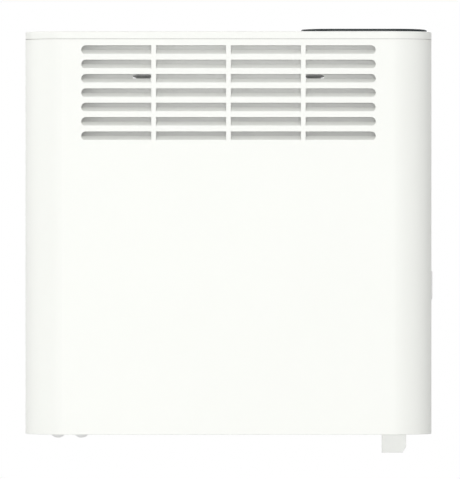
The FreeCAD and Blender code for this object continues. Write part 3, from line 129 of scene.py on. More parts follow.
# Patterns in the finishes
REPEAT_SHIFT = 1000
ZINC_METAL = 0.85
BARE_FROM = 0.2
GRAIN_ROUGH = 0.07
INK_SPREAD = 1.12
EDGE_POWER = 5.0
SEAM = 0.5 * MM
# How far the painted shade reaches on either side of the joint under the cover
SEAM_SHADE_REACH = 0.26 * MM
DISPLAY_HALF_W = 24.0 * MM
DISPLAY_HALF_H = 9.2 * MM
PIXEL = 0.5 * MM
PIXEL_GAP = 0.06 * MM
TRACK_PITCH = 2.6 * MM
TRACK_W = 0.7 * MM
TRACK_ROW = 3.1 * MM
TRACK_ROW_W = 0.6 * MM
PAD_REACH = 0.16
CONDUCTOR_PITCH = 1.27 * MM
CONDUCTOR_GAP = 0.25 * MM
RIBBON_EDGE_W = 1.0 * MM
BRAID_PITCH = 1.4 * MM
BRAID_W = 0.7 * MM

# The louvres in the casing's front, and the steep walls that close the rows at their ends.
# The sink keeps the new faces off the ones that they continue.
LOUVRE_W = 328.2 * MM
LOUVRE_DROP = 7.1 * MM
LOUVRE_ROWS = 7
ROW_PITCH = 16.0 * MM
SLOT_R = 5.0 * MM
BLADE_LEAN = math.radians(55)
BLADE_RISE = 5.4 * MM
BLADE_CORNER = 0.73 * MM
SHEET = 1.0 * MM
END_WALL = 0.8 * MM
END_DEPTH = 14.0 * MM
END_OVERLAP = 0.4 * MM
END_SINK = 0.02 * MM
END_SIDES = 72

# Mending and smoothing: points to merge, faces to make one, edges to keep sharp.
# In the casing, blades and end walls meet at about 35 degrees, so its edges stay sharp from less.
WELD = 0.002 * MM
FLAT = math.radians(0.3)
CREASE = math.radians(35)
CASING_CREASE = math.radians(20)
FACE_WEIGHT = 100

# Tests on points and faces, and the profile of a round bevel
NEAR = 0.1 * MM
FACING = 0.9
ROUND = 0.5

# The screws in the back
SCREW_HEAD_R = 3.8 * MM
SCREW_HEAD_H = 2.2 * MM
SCREW_HEAD_ROUND = 0.55 * SCREW_HEAD_H
SCREW_HEAD_STEPS = 5
SCREW_SIDES = 40
SCREW_R = 1.9 * MM
SCREW_L = 9.0 * MM
SCREW_TIP = 0.15
SCREW_ROWS_INSET = 40.0 * MM
BASE_SCREW_PITCH = 120.0 * MM
REAR_SHEET = 1.0 * MM
RECESS_W = 0.9 * MM
RECESS_L = 4.2 * MM
RECESS_DEPTH = 1.3 * MM
RECESS_TAPER = 0.55

# Prints on the keys: strokes as x, y, length and turn
PRINT_T = 0.12 * MM
PRINT_SINK = 0.04 * MM
PRINT_ROUND = PRINT_T / 3
PRINT_STEPS = 2
MARK_W = 0.8 * MM
MARK_L = 5.4 * MM
LIST_PITCH = 1.9 * MM
TICK_SHORT = (-1.5 * MM, -0.5 * MM, 2.6 * MM, math.radians(-45))
TICK_LONG = (0.85 * MM, 0.3 * MM, 5.0 * MM, math.radians(50))

# Figures on the display. Places across are in digit pitches from its middle.
FIGURES = "215"
FIGURE_PLACES = (-1.4, -0.4, 0.95)
FIGURE_LIFT = 1.4 * MM
LIT_SEGMENTS = {"1": "bc", "2": "abged", "5": "afgcd"}
DIGIT_H = 11.0 * MM
DIGIT_W = 5.6 * MM
DIGIT_PITCH = 8.2 * MM
SEGMENT_W = 1.1 * MM
SEGMENT_GAP = 0.35 * MM
SEGMENT_SIDES = 6
STOP_PLACE = 0.28
DEGREE_PLACE = 1.65
DEGREE_LIFT = 0.38 * DIGIT_H
DEGREE_R = 1.2 * MM
DEGREE_WIRE = 0.32 * MM
DEGREE_SIDES = 28
DEGREE_SQUASH = 0.3
LEVELS = 5
LEVEL_PITCH = 6.2 * MM
LEVEL_DROP = 7.4 * MM
LEVEL_L = 4.8 * MM
LEVEL_W = 1.1 * MM

# Marks on the rocker
ROCKER_MARK_Z = 7.4 * MM
ROCKER_MARK_W = 0.8 * MM
ROCKER_BAR_L = 5.0 * MM
ROCKER_RING_R = 2.1 * MM
ROCKER_RING_SIDES = 36
WIRE_SIDES = 8
RAY_START = 20.0 * MM


class Field:
    """A shader socket in an expression. Each operator adds one Math node."""

    def __init__(self, nodes, socket):
        self.nodes = nodes
        self.socket = socket

    def maths(self, operation, first, second=0.0):
        return self.nodes.node("ShaderNodeMath", {"operation": operation}, {0: first, 1: second})

    def __add__(self, other):
        return self.maths("ADD", self, other)

    def __radd__(self, other):
        return self.maths("ADD", other, self)

    def __sub__(self, other):
        return self.maths("SUBTRACT", self, other)

    def __rsub__(self, other):
        return self.maths("SUBTRACT", other, self)

    def __mul__(self, other):
        return self.maths("MULTIPLY", self, other)

    def __rmul__(self, other):
        return self.maths("MULTIPLY", other, self)

    def __pow__(self, other):
        return self.maths("POWER", self, other)

    def __gt__(self, other):
        return self.maths("GREATER_THAN", self, other)

    def __lt__(self, other):
        return self.maths("LESS_THAN", self, other)

    def size(self):
        return self.maths("ABSOLUTE", self)

    def between(self, low, high):
        """A number that goes from low to high as this field goes from none to one."""
        return low + (high - low) * self

    def repeat(self, step):
        """What is left of a length after whole steps, also below zero."""
        return self.maths("MODULO", self + REPEAT_SHIFT * step, step)


class Nodes:
    """A node tree that is filled by one method."""

    def __init__(self, tree):
        self.tree = tree

    def node(self, kind, settings=None, inputs=None, output=0):
        made = self.tree.nodes.new(kind)
        for name, value in (settings or {}).items():
            setattr(made, name, value)
        for name, value in (inputs or {}).items():
            self.feed(made.inputs[name], value)
        return Field(self, made.outputs[output])

    def feed(self, socket, value):
        if isinstance(value, Field):
            self.tree.links.new(value.socket, socket)
        elif isinstance(value, tuple) and socket.type == "RGBA":
            socket.default_value = value + (1,)
        else:
            socket.default_value = value


class Finish(Nodes):
    """One material: a Principled shader and what feeds it."""

    def __init__(self, name):
        self.material = bpy.data.materials.new(name)
        self.material.use_nodes = True
        super().__init__(self.material.node_tree)
        self.shader = self.tree.nodes["Principled BSDF"]

    def shade(self, sockets):
        for name, value in sockets.items():
            self.feed(self.shader.inputs[name], value)
        return self.material

    def place(self, stretch=(1, 1, 1)):
        """Object coordinates in metres, stretched where a pattern is drawn out."""
        spot = self.node("ShaderNodeTexCoord", output="Object")
        if stretch == (1, 1, 1):
            return spot
        return self.node("ShaderNodeMapping", inputs={"Vector": spot, "Scale": stretch})

    def along(self, axis):
        return self.node("ShaderNodeSeparateXYZ", inputs={0: self.place()}, output=axis)

    def noise(self, scale, detail=2.0, stretch=(1, 1, 1)):
        return self.node("ShaderNodeTexNoise",
                         inputs={"Vector": self.place(stretch), "Scale": scale, "Detail": detail})

    def cells(self, scale, output):
        inputs = {"Vector": self.place(), "Scale": scale}
        return self.node("ShaderNodeTexVoronoi", inputs=inputs, output=output)

    def mix(self, factor, first, second):
        """A colour between two. A Mix node has its colours on sockets 6 and 7, and gives one on output 2."""
        return self.node("ShaderNodeMix", {"data_type": "RGBA"}, {0: factor, 6: first, 7: second}, output=2)

    def bump(self, height, depth):
        return self.node("ShaderNodeBump", inputs={"Height": height, "Distance": depth})


def seam_painted_shade(finish, clean):
    """A colour with painted shade along the joint under the cover, laid in patches where the seam's shadow
    falls.
    """
    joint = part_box("front_casing")[1].z + SEAM / 2
    near = (finish.along("Z") - joint).size() < SEAM_SHADE_REACH
    patchy = finish.noise(scale=140).between(0.7, 1.0)
    return finish.mix(near * patchy, clean, SEAM_SHADE)


def white_enamel():
    """Powder coat with a fine orange peel."""
    finish = Finish("white_enamel")
    drift = finish.noise(scale=7, detail=3)
    peel = finish.noise(scale=900)
    return finish.shade({
        "Base Color": seam_painted_shade(finish, finish.mix(drift, *ENAMEL)),
        "Roughness": peel.between(0.45, 0.55),
        "Coat Weight": 0.05,
        "Coat Roughness": 0.3,
        "Normal": finish.bump(peel, depth=0.03 * MM),
    })


def dark_steel():
    """Grey powder coat on the bracket."""
    finish = Finish("dark_steel")
    drift = finish.noise(scale=7, detail=3)
    peel = finish.noise(scale=1400)
    return finish.shade({
        "Base Color": finish.mix(drift, *BRACKET_GREY),
        "Roughness": peel.between(0.50, 0.60),
        "Normal": finish.bump(peel, depth=0.04 * MM),
    })


def white_moulding():
    """Satin plastic with a spark-eroded grain."""
    finish = Finish("white_moulding")
    drift = finish.noise(scale=11)
    grain = finish.noise(scale=2600, detail=3)
    return finish.shade({
        "Base Color": seam_painted_shade(finish, finish.mix(drift, *MOULDING)),
        "Roughness": grain.between(0.40, 0.52),
        "Normal": finish.bump(grain, depth=0.02 * MM),
    })


def spangle(finish):
    """Colour, roughness and relief of the crystals on galvanised sheet."""
    crystal = finish.node("ShaderNodeSeparateColor", inputs={0: finish.cells(95, "Color")}, output="Red")
    frost = finish.noise(scale=420, detail=4)
    rolled = finish.noise(scale=60, detail=3, stretch=(1, 1, 0.03))
    tone = 0.45 * crystal + 0.25 * frost + 0.30 * rolled
    rough = 0.26 + 0.22 * crystal + 0.08 * frost
    relief = 0.6 * crystal + 0.4 * frost
    return finish.mix(tone, *ZINC), rough, relief


def zinc_sheet():
    """Galvanised sheet, bare on both sides."""
    finish = Finish("zinc_sheet")
    colour, rough, relief = spangle(finish)
    return finish.shade({
        "Base Color": colour,
        "Roughness": rough,
        "Metallic": ZINC_METAL,
        "Normal": finish.bump(relief, depth=0.03 * MM),
    })


def coated_sheet():
    """Galvanised on the side towards the wall, and coated white on the side towards the room."""
    finish = Finish("coated_sheet")
    colour, rough, relief = spangle(finish)
    normal = finish.node("ShaderNodeNewGeometry", output="Normal")
    bare = finish.node("ShaderNodeSeparateXYZ", inputs={0: normal}, output="Y") > BARE_FROM
    white = finish.mix(finish.noise(scale=9), *INNER_WHITE)
    return finish.shade({
        "Base Color": finish.mix(bare, white, colour),
        "Roughness": bare.between(0.45, rough),
        "Metallic": ZINC_METAL * bare,
        "Normal": finish.bump(relief, depth=0.02 * MM),
    })


def slate_panel():
    """Dark polished plastic, with a faint haze from wiping."""
    finish = Finish("slate_panel")
    haze = finish.noise(scale=38, detail=4, stretch=(1, 0.25, 1))
    fine = finish.noise(scale=1900)
    return finish.shade({
        "Base Color": finish.mix(haze, *SLATE),
        "Roughness": haze.between(0.27, 0.37),
        "Specular IOR Level": 0.13,
        "Normal": finish.bump(fine, depth=0.004 * MM),
    })


def clear_lens():
    """Thin clear acrylic that shows the display, with a gloss that grows towards the edge of view."""
    finish = Finish("clear_lens")
    smear = finish.noise(scale=55, detail=3)
    gloss = finish.node("ShaderNodeLayerWeight", inputs={"Blend": 0.5}, output="Facing") ** EDGE_POWER
    return finish.shade({
        "Base Color": LENS,
        "Roughness": smear.between(0.04, 0.10),
        "IOR": 1.49,
        "Alpha": 0.05 + 0.03 * smear + 0.9 * gloss,
    })


def display_glass():
    """Reflective liquid crystal, with its pixel grid and a darker rim."""
    finish = Finish("display_glass")
    low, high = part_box("lcd_module")
    middle = (low + high) / 2
    across = finish.along("X")
    depth = finish.along("Y")
    rim = ((across - middle.x).size() > DISPLAY_HALF_W) + ((depth - middle.y).size() > DISPLAY_HALF_H)
    grid = (across.repeat(PIXEL) < PIXEL_GAP) + (depth.repeat(PIXEL) < PIXEL_GAP)
    cloud = finish.noise(scale=60)
    face = finish.mix(0.25 * grid, finish.mix(cloud, *CRYSTAL), PIXEL_LINE)
    return finish.shade({
        "Base Color": finish.mix(rim, face, DISPLAY_RIM),
        "Roughness": cloud.between(0.30, 0.40),
    })


def ink(name, colour):
    """Printed or moulded marks."""
    finish = Finish(name)
    grain = finish.noise(scale=1800)
    pale = tuple(min(1.0, INK_SPREAD * part) for part in colour)
    return finish.shade({
        "Base Color": finish.mix(grain, colour, pale),
        "Roughness": grain.between(0.5, 0.6),
    })


def moulded(name, tones, rough, grain_scale=2200, depth=0.02 * MM):
    """Moulded plastic, rubber or ceramic with a fine grain."""
    finish = Finish(name)
    drift = finish.noise(scale=26, detail=3)
    grain = finish.noise(grain_scale, detail=3)
    return finish.shade({
        "Base Color": finish.mix(drift, *tones),
        "Roughness": grain.between(rough - GRAIN_ROUGH, rough + GRAIN_ROUGH),
        "Normal": finish.bump(grain, depth),
    })


def circuit_board():
    """Solder resist over copper tracks, with tinned pads."""
    finish = Finish("circuit_board")
    across = (finish.along("X") + finish.along("Y")).repeat(TRACK_PITCH)
    up = finish.along("Z").repeat(TRACK_ROW)
    track = (across < TRACK_W) + (up < TRACK_ROW_W)
    pad = finish.cells(230, "Distance") < PAD_REACH
    board = finish.mix(0.55 * track, RESIST, TRACK)
    return finish.shade({
        "Base Color": finish.mix(pad, board, SOLDER),
        "Roughness": track.between(0.30, 0.45),
        "Metallic": 0.8 * pad,
    })


def fin_aluminium():
    """Drawn aluminium strip."""
    finish = Finish("fin_aluminium")
    drawn = finish.noise(scale=240, detail=3, stretch=(1, 1, 0.05))
    cloud = finish.noise(scale=30, detail=3)
    return finish.shade({
        "Base Color": finish.mix(cloud, *ALUMINIUM),
        "Metallic": 0.9,
        "Roughness": drawn.between(0.26, 0.46),
        "Normal": finish.bump(drawn, depth=0.02 * MM),
    })


def tube_steel():
    """Stainless sheath, straw and blue from heat."""
    finish = Finish("tube_steel")
    heat = finish.noise(scale=18, detail=3, stretch=(1, 0.3, 0.3))
    fine = finish.noise(scale=700, detail=3, stretch=(0.1, 1, 1))
    return finish.shade({
        "Base Color": finish.mix(heat, *HEATED_STEEL),
        "Metallic": 1.0,
        "Roughness": fine.between(0.28, 0.48),
    })


def ribbon_cable():
    """Grey flat cable with its row of conductors, one edge marked."""
    finish = Finish("ribbon_cable")
    across = finish.along("Y")
    groove = across.repeat(CONDUCTOR_PITCH) < CONDUCTOR_GAP
    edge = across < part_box("panel_ribbon")[0].y + RIBBON_EDGE_W
    grey = finish.mix(0.6 * groove, *RIBBON_GREY)
    return finish.shade({
        "Base Color": finish.mix(edge, grey, RIBBON_EDGE),
        "Roughness": groove.between(0.55, 0.65),
    })


def screw_steel():
    """Plated steel, clouded."""
    finish = Finish("screw_steel")
    fine = finish.noise(scale=1600, detail=3)
    cloud = finish.noise(scale=240)
    return finish.shade({
        "Base Color": finish.mix(cloud, *PLATING),
        "Metallic": 1.0,
        "Roughness": fine.between(0.24, 0.42),
        "Normal": finish.bump(fine, depth=0.01 * MM),
    })


def wire_sleeve():
    """Braided sleeve."""
    finish = Finish("wire_sleeve")
    across, depth, up = (finish.along(axis) for axis in "XYZ")
    rising = (across + up + depth).repeat(BRAID_PITCH)
    falling = (across - up + depth).repeat(BRAID_PITCH)
    weave = (rising < BRAID_W) + (falling < BRAID_W)
    return finish.shade({
        "Base Color": finish.mix(0.5 * weave, *SLEEVE),
        "Roughness": weave.between(0.7, 0.8),
        "Normal": finish.bump(weave, depth=0.1 * MM),
    })


FINISHES = {
    "white_enamel": white_enamel(),
    "white_moulding": white_moulding(),
    "zinc_sheet": zinc_sheet(),
    "coated_sheet": coated_sheet(),
    "dark_steel": dark_steel(),
    "slate_panel": slate_panel(),
    "clear_lens": clear_lens(),
    "display": display_glass(),
    "key_plastic": moulded("key_plastic", KEY_GREY, rough=0.45),
    "switch_plastic": moulded("switch_plastic", SWITCH_WHITE, rough=0.45),
    "circuit_board": circuit_board(),
    "fin_aluminium": fin_aluminium(),
    "tube_steel": tube_steel(),
    "ceramic_white": moulded("ceramic_white", CERAMIC, rough=0.6, grain_scale=900, depth=0.05 * MM),
    "dark_phenolic": moulded("dark_phenolic", PHENOLIC, rough=0.5),
    "nylon": moulded("nylon", NYLON, rough=0.42),
    "grommet_rubber": moulded("grommet_rubber", RUBBER, rough=0.68, grain_scale=1500, depth=0.05 * MM),
    "wire_sleeve": wire_sleeve(),
    "ribbon_cable": ribbon_cable(),
    "screw_steel": screw_steel(),
    "pale_print": ink("pale_print", PALE_INK),
    "dark_print": ink("dark_print", DARK_INK),
    "mark_grey": ink("mark_grey", GREY_INK),
}


def dress_nodes():
    """Gives each CAD node the finish of its material slot."""
    for subpart in frame["record"]["subparts"]:
        mesh = frame["nodes"][subpart["node"]].data
        mesh.materials.clear()
        mesh.materials.append(FINISHES[subpart["material_slot"]])


def clear_selection():
    bpy.ops.object.select_all(action="DESELECT")


def choose(piece):
    """Makes a piece the active one and the only one selected."""
    clear_selection()
    piece.select_set(True)
    bpy.context.view_layer.objects.active = piece


def apply_place():
    """Puts the place, turn and size of what is selected into its mesh."""
    bpy.ops.object.transform_apply(location=True, rotation=True, scale=True)


def started(name):
    """The primitive that was just added, with its place and size in its mesh."""
    piece = bpy.context.object
    piece.name = name
    apply_place()
    return piece


def placed(piece, place, turn):
    """Moves and turns a piece that was made at the origin, within its mesh."""
    choose(piece)
    piece.rotation_euler = turn
    piece.location = place
    apply_place()
    return piece


def copied(piece, move):
    """A copy with its own mesh, moved within its mesh."""
    twin = piece.copy()
    twin.data = piece.data.copy()
    bpy.context.scene.collection.objects.link(twin)
    for point in twin.data.vertices:
        point.co += move
    return twin


def everywhere(centre, normal):
    return True


def faces_room(centre, normal):
    return normal.y < -FACING


def pick(piece, test, kind="FACE"):
    """Selects what passes a test on its centre and its normal or run, and stays in edit mode."""
    bpy.ops.object.mode_set(mode="EDIT")
    bpy.ops.mesh.select_mode(type=kind)
    bpy.ops.mesh.select_all(action="DESELECT")
    bpy.ops.object.mode_set(mode="OBJECT")
    mesh = piece.data
    if kind == "FACE":
        for face in mesh.polygons:
            face.select = test(face.center, face.normal)
    elif kind == "EDGE":
        for edge in mesh.edges:
            first, second = (mesh.vertices[i].co for i in edge.vertices)
            edge.select = test((first + second) / 2, second - first)
    else:
        for point in mesh.vertices:
            point.select = test(point.co, point.normal)
    bpy.ops.object.mode_set(mode="EDIT")


def leave_edit():
    bpy.ops.object.mode_set(mode="OBJECT")


def joined(name, pieces):
    choose(pieces[0])
    for piece in pieces[1:]:
        piece.select_set(True)
    if len(pieces) > 1:
        bpy.ops.object.join()
    pieces[0].name = name
    pieces[0].data.name = name
    return pieces[0]


def modified(piece, kind, **settings):
    """Adds a modifier and applies it."""
    choose(piece)
    modifier = piece.modifiers.new(kind.lower(), kind)
    for name, value in settings.items():
        setattr(modifier, name, value)
    bpy.ops.object.modifier_apply(modifier=modifier.name)


def combined(piece, tool, operation):
    """Unites a tool with a piece or cuts it out of it, and removes the tool."""
    modified(piece, "BOOLEAN", object=tool, operation=operation, solver="EXACT")
    bpy.data.objects.remove(tool)
    return piece


def finished(piece, finish, body, crease=CREASE):
    """Gives a piece its finish and smoothing, and ties it to its body and slot."""
    piece.data.materials.clear()
    piece.data.materials.append(FINISHES[finish])
    choose(piece)
    bpy.ops.object.shade_smooth_by_angle(angle=crease)
    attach(piece, body)
    return piece


def bar(name, place, size):
    """Thin bar with every edge rounded."""
    clear_selection()
    bpy.ops.mesh.primitive_cube_add(size=1, location=place, scale=size)
    piece = started(name)
    pick(piece, everywhere, "EDGE")
    bpy.ops.mesh.bevel(offset=PRINT_ROUND, segments=PRINT_STEPS, profile=ROUND)
    leave_edit()
    return piece


def ring(name, place, turn, radius, wire, sides, squash):
    """Ring of round wire, squashed flat."""
    clear_selection()
    bpy.ops.mesh.primitive_torus_add(location=place, rotation=turn, major_radius=radius, minor_radius=wire,
                                     major_segments=sides, minor_segments=WIRE_SIDES)
    piece = started(name)
    pick(piece, everywhere)
    bpy.ops.transform.resize(value=squash, center_override=place)
    leave_edit()
    return piece


def trim(piece, place, normal):
    """Cuts away what stands on the normal's side of a plane, and closes the cut."""
    pick(piece, everywhere)
    bpy.ops.mesh.bisect(plane_co=place, plane_no=normal, use_fill=True, clear_outer=True)
    leave_edit()


def end_block(name, centre, side, radius, front, back):
    """Half round block across the casing's front, on the outer side of a slot's end."""
    clear_selection()
    bpy.ops.mesh.primitive_cylinder_add(vertices=END_SIDES, radius=radius, depth=back - front,
                                        location=(centre.x, (front + back) / 2, centre.z),
                                        rotation=(QUARTER, 0, 0))
    piece = started(name)
    trim(piece, (centre.x - side * END_OVERLAP, 0, 0), (-side, 0, 0))
    return piece


def slot_end(centre, side, front):
    """A steep end wall with the blade run out to it, and the hollow in front of them."""
    foot = centre.z - SLOT_R
    across_blade = Vector((0, math.cos(BLADE_LEAN), -math.sin(BLADE_LEAN)))
    on_blade = Vector((centre.x, front + END_SINK, foot + BLADE_CORNER))
    wall = end_block("end_wall", centre, side, SLOT_R + END_WALL, front + SHEET / 2, front + END_DEPTH)
    trim(wall, on_blade + (SHEET - 2 * END_SINK) * across_blade, across_blade)
    trim(wall, (0, 0, foot + BLADE_RISE), (0, 0, 1))
    hollow = end_block("end_hollow", centre, side, SLOT_R, front - SHEET, front + END_DEPTH)
    trim(hollow, on_blade, across_blade)
    return wall, hollow


def louvred_casing():
    """The casing, with a steep wall formed at both ends of each louvre row."""
    low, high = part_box("front_casing")
    casing = joined("louvred_casing", [copied(frame["nodes"]["front_casing"], Vector())])
    pick(casing, everywhere)
    bpy.ops.mesh.remove_doubles(threshold=WELD)
    leave_edit()
    steps = [Vector((0, 0, -row * ROW_PITCH)) for row in range(1, LOUVRE_ROWS)]
    walls = []
    hollows = []
    for side in (-1, 1):
        first = Vector((side * (LOUVRE_W / 2 - SLOT_R), 0, high.z - LOUVRE_DROP - SLOT_R))
        wall, hollow = slot_end(first, side, low.y)
        walls += [wall] + [copied(wall, step) for step in steps]
        hollows += [hollow] + [copied(hollow, step) for step in steps]
    combined(casing, joined("louvre_ends", walls), "UNION")
    combined(casing, joined("louvre_ends", hollows), "DIFFERENCE")
    pick(casing, everywhere)
    bpy.ops.mesh.remove_doubles(threshold=WELD)
    bpy.ops.mesh.dissolve_degenerate(threshold=WELD)
    bpy.ops.mesh.dissolve_limited(angle_limit=FLAT)
    leave_edit()
    finished(casing, "white_enamel", "heater", CASING_CREASE)
    modified(casing, "WEIGHTED_NORMAL", mode="FACE_AREA", weight=FACE_WEIGHT, keep_sharp=True)
    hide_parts("front_casing")


def recess_cutter(seat):
    """Tapered cross that is sunk into a screw's head."""
    blades = []
    for width, height in ((RECESS_L, RECESS_W), (RECESS_W, RECESS_L)):
        clear_selection()
        bpy.ops.mesh.primitive_cube_add(size=1, location=seat + Vector((0, SCREW_HEAD_H, 0)),
                                        scale=(width, 2 * RECESS_DEPTH, height))
        blade = started("recess")
        pick(blade, faces_room)
        bpy.ops.transform.resize(value=(RECESS_TAPER, 1, RECESS_TAPER))
        leave_edit()
        blades.append(blade)
    return combined(blades[0], blades[1], "UNION")


def rear_screw(seat):
    """Pan head screw with a cross recess, its head towards the wall."""
    clear_selection()
    bpy.ops.mesh.primitive_cylinder_add(vertices=SCREW_SIDES, radius=SCREW_HEAD_R, depth=SCREW_HEAD_H,
                                        location=seat + Vector((0, SCREW_HEAD_H / 2, 0)),
                                        rotation=(QUARTER, 0, 0))
    screw = started("rear_screw")
    crown = seat.y + SCREW_HEAD_H - NEAR
    pick(screw, lambda centre, run: centre.y > crown and abs(run.y) < NEAR, "EDGE")
    bpy.ops.mesh.bevel(offset=SCREW_HEAD_ROUND, segments=SCREW_HEAD_STEPS, profile=ROUND)
    leave_edit()
    pick(screw, faces_room)
    bpy.ops.mesh.inset(thickness=SCREW_HEAD_R - SCREW_R)
    bpy.ops.mesh.extrude_region_move(TRANSFORM_OT_translate={"value": (0, -SCREW_L + SCREW_R, 0)})
    bpy.ops.mesh.extrude_region_move(TRANSFORM_OT_translate={"value": (0, -SCREW_R, 0)})
    bpy.ops.transform.resize(value=(SCREW_TIP, 1, SCREW_TIP))
    leave_edit()
    return combined(screw, recess_cutter(seat), "DIFFERENCE")


def rear_screws():
    """Three screws into each side of the casing and three into the base."""
    low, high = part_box("rear_screws")
    casing_low, casing_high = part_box("front_casing")
    rows = (casing_low.z + SCREW_ROWS_INSET, (casing_low.z + casing_high.z) / 2,
            casing_high.z - SCREW_ROWS_INSET)
    sides = (low.x + SCREW_HEAD_R, high.x - SCREW_HEAD_R)
    seats = [Vector((x, casing_high.y, z)) for x in sides for z in rows]
    base_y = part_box("rear_panel")[0].y + REAR_SHEET
    base_z = low.z + SCREW_HEAD_R
    seats += [Vector((x, base_y, base_z)) for x in (-BASE_SCREW_PITCH, 0, BASE_SCREW_PITCH)]
    first = rear_screw(seats[0])
    screws = [first] + [copied(first, seat - seats[0]) for seat in seats[1:]]
    piece = finished(joined("rear_screw_set", screws), "screw_steel", "heater")
    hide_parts("rear_screws")


def key_print(node, strokes):
    """Raised strokes on a key's top, merged into one piece."""
    low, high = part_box(node)
    middle = (low + high) / 2
    lift = high.z - PRINT_SINK + PRINT_T / 2
    bars = []
    for x, y, length, turn in strokes:
        piece = bar(node, (0, 0, 0), (length, MARK_W, PRINT_T))
        bars.append(placed(piece, (middle.x + x, middle.y + y, lift), (0, 0, turn)))
    for other in bars[1:]:
        combined(bars[0], other, "UNION")
    return joined(node + "_mark", bars[:1])


def key_marks():
    """Prints on the four keys: list, minus, plus and tick."""
    level = (0, 0, MARK_L, 0)
    upright = (0, 0, MARK_L, QUARTER)
    marks = {
        "key_menu": ("menu_button", [(0, y, MARK_L, 0) for y in (-LIST_PITCH, 0, LIST_PITCH)]),
        "key_minus": ("minus_button", [level]),
        "key_plus": ("plus_button", [level, upright]),
        "key_ok": ("ok_button", [TICK_SHORT, TICK_LONG]),
    }
    for node, (body, strokes) in marks.items():
        finished(key_print(node, strokes), "pale_print", body)


def segment(place, upright, length):
    """Lengthened hexagon, thin as a printed segment."""
    clear_selection()
    bpy.ops.mesh.primitive_circle_add(vertices=SEGMENT_SIDES, radius=SEGMENT_W / 2, fill_type="NGON")
    piece = started("segment")
    stretch = (length - SEGMENT_W) / 2
    for side in (-1, 1):
        pick(piece, lambda point, normal: point.x * side > NEAR, "VERT")
        bpy.ops.transform.translate(value=(side * stretch, 0, 0))
        leave_edit()
    pick(piece, everywhere)
    bpy.ops.mesh.extrude_region_move(TRANSFORM_OT_translate={"value": (0, 0, PRINT_T)})
    bpy.ops.mesh.select_all(action="SELECT")
    bpy.ops.mesh.normals_make_consistent(inside=False)
    leave_edit()
    return placed(piece, place, (0, 0, QUARTER if upright else 0))


def digit(figure, middle):
    """The lit segments of one figure, lettered a to g clockwise from the top, with g across the middle."""
    half_w = DIGIT_W / 2
    half_h = DIGIT_H / 2
    places = {"a": (0, half_h, False), "g": (0, 0, False), "d": (0, -half_h, False),
              "f": (-half_w, half_h / 2, True), "b": (half_w, half_h / 2, True),
              "e": (-half_w, -half_h / 2, True), "c": (half_w, -half_h / 2, True)}
    pieces = []
    for letter in LIT_SEGMENTS[figure]:
        x, y, upright = places[letter]
        length = (half_h if upright else DIGIT_W) - SEGMENT_GAP
        pieces.append(segment(middle + Vector((x, y, 0)), upright, length))
    return pieces


def display_figures():
    """The set temperature on the display, with a row of level bars under it."""
    low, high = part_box("lcd_module")
    face = Vector(((low.x + high.x) / 2, (low.y + high.y) / 2, high.z - PRINT_SINK))
    line = face + Vector((0, FIGURE_LIFT, 0))
    half = PRINT_T / 2
    pieces = []
    for figure, place in zip(FIGURES, FIGURE_PLACES):
        pieces += digit(figure, line + Vector((place * DIGIT_PITCH, 0, 0)))
    stop_at = line + Vector((STOP_PLACE * DIGIT_PITCH, -DIGIT_H / 2, half))
    pieces.append(bar("stop", stop_at, (SEGMENT_W, SEGMENT_W, PRINT_T)))
    degree_at = line + Vector((DEGREE_PLACE * DIGIT_PITCH, DEGREE_LIFT, half))
    pieces.append(ring("degree", degree_at, (0, 0, 0), DEGREE_R, DEGREE_WIRE, DEGREE_SIDES,
                       squash=(1, 1, DEGREE_SQUASH)))
    for i in range(LEVELS):
        level_at = face + Vector(((i - (LEVELS - 1) / 2) * LEVEL_PITCH, -LEVEL_DROP, half))
        pieces.append(bar("level", level_at, (LEVEL_L, LEVEL_W, PRINT_T)))
    finished(joined("display_figures", pieces), "dark_print", "heater")


def rocker_spot(height):
    """Point and normal on the rocker's face at a height from its middle."""
    low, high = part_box("switch_rocker")
    start = Vector((high.x + RAY_START, (low.y + high.y) / 2, (low.z + high.z) / 2 + height))
    _, place, normal, _ = frame["nodes"]["switch_rocker"].ray_cast(start, Vector((-1, 0, 0)))
    return place, normal


def rocker_marks():
    """The line and the ring that tell on from off, standing a hair above the rocker's face."""
    line = bar("on_mark", (0, 0, 0), (PRINT_T, ROCKER_MARK_W, ROCKER_BAR_L))
    loop = ring("off_mark", (0, 0, 0), (0, QUARTER, 0), ROCKER_RING_R, ROCKER_MARK_W / 2, ROCKER_RING_SIDES,
                squash=(PRINT_T / ROCKER_MARK_W, 1, 1))
    for piece, height in ((line, ROCKER_MARK_Z), (loop, -ROCKER_MARK_Z)):
        place, normal = rocker_spot(height)
        placed(piece, place, (0, -math.atan2(normal.z, normal.x), 0))
    finished(joined("rocker_marks", [line, loop]), "mark_grey", "rocker")


def seen(nodes):
    """One where the surround is looked at, straight, in gloss or through glass, and none where it lights."""
    kinds = ("Is Camera Ray", "Is Glossy Ray", "Is Transmission Ray")
    straight, mirrored, through = (nodes.node("ShaderNodeLightPath", output=kind) for kind in kinds)
    return straight + mirrored + through > 0.5


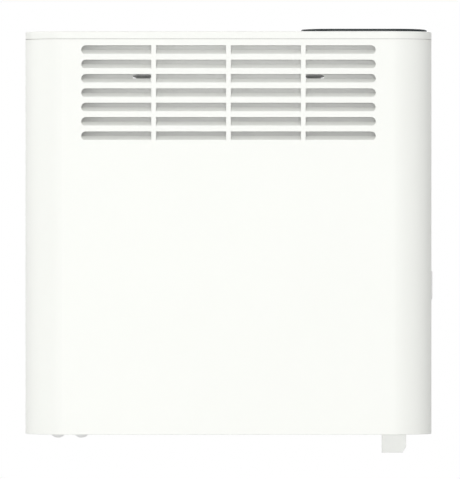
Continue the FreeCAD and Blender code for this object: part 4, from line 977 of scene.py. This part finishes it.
def floor():
    """Plain pale floor, evened out to the eye, that keeps a shadow and goes over into the surround."""
    clear_selection()
    bpy.ops.mesh.primitive_plane_add(size=FLOOR_SIZE, location=(0, 0, cad_low.z - FLOOR_DROP))
    plane = started("floor")
    finish = Finish("floor_paint")
    tone = finish.mix(finish.noise(scale=3), *FLOOR_PAINT)
    plane.data.materials.append(finish.shade({"Base Color": tone, "Roughness": FLOOR_ROUGH}))
    paint = Field(finish, finish.shader.outputs[0])
    away = finish.node("ShaderNodeVectorMath", {"operation": "LENGTH"}, {0: finish.place()}, "Value")
    fade = finish.node("ShaderNodeMapRange",
                       inputs={"Value": away, "From Min": FADE_FROM, "From Max": FADE_TO})
    even = finish.node("ShaderNodeEmission", inputs={"Color": finish.mix(fade, FLOOR_TONE, WHITE)})
    lift = seen(finish) * fade.between(FLOOR_LIFT, 1)
    surface = finish.node("ShaderNodeMixShader", inputs={0: lift, 1: paint, 2: even})
    finish.feed(finish.tree.nodes["Material Output"].inputs["Surface"], surface)


def lamp(name, place, size, power):
    """Soft box that points at the origin."""
    light = bpy.data.lights.new(name, "AREA")
    light.shape = "RECTANGLE"
    light.size, light.size_y = size
    light.energy = power
    holder = bpy.data.objects.new(name, light)
    bpy.context.scene.collection.objects.link(holder)
    holder.location = place
    holder.rotation_euler = (-Vector(place)).to_track_quat("-Z", "Y").to_euler()


def studio():
    """A surround that is white to the eye and gives a softer light, and the lamps."""
    world = bpy.data.worlds.new("studio")
    bpy.context.scene.world = world
    world.use_nodes = True
    nodes = Nodes(world.node_tree)
    strength = seen(nodes).between(AMBIENT, 1)
    surround = nodes.node("ShaderNodeBackground", inputs={"Color": WHITE, "Strength": strength})
    nodes.feed(world.node_tree.nodes["World Output"].inputs["Surface"], surround)
    for name, (place, size, power) in LAMPS.items():
        lamp(name, place, size, power)


def camera():
    """Straight view of the front, in the photograph's frame."""
    lens = bpy.data.cameras.new("camera")
    lens.sensor_width = SENSOR_MM
    lens.lens = SENSOR_MM * VIEW_DISTANCE / (PHOTO_H / PHOTO_SCALE * MM)
    lens.clip_end = CLIP_END
    holder = bpy.data.objects.new("camera", lens)
    bpy.context.scene.collection.objects.link(holder)
    holder.location = (VIEW_X, cad_low.y - VIEW_DISTANCE, VIEW_Z)
    holder.rotation_euler = (QUARTER, 0, 0)
    bpy.context.scene.camera = holder


camera()
studio()
floor()
dress_nodes()
louvred_casing()
rear_screws()
key_marks()
display_figures()
rocker_marks()

bpy.context.scene.view_settings.view_transform = "Standard"
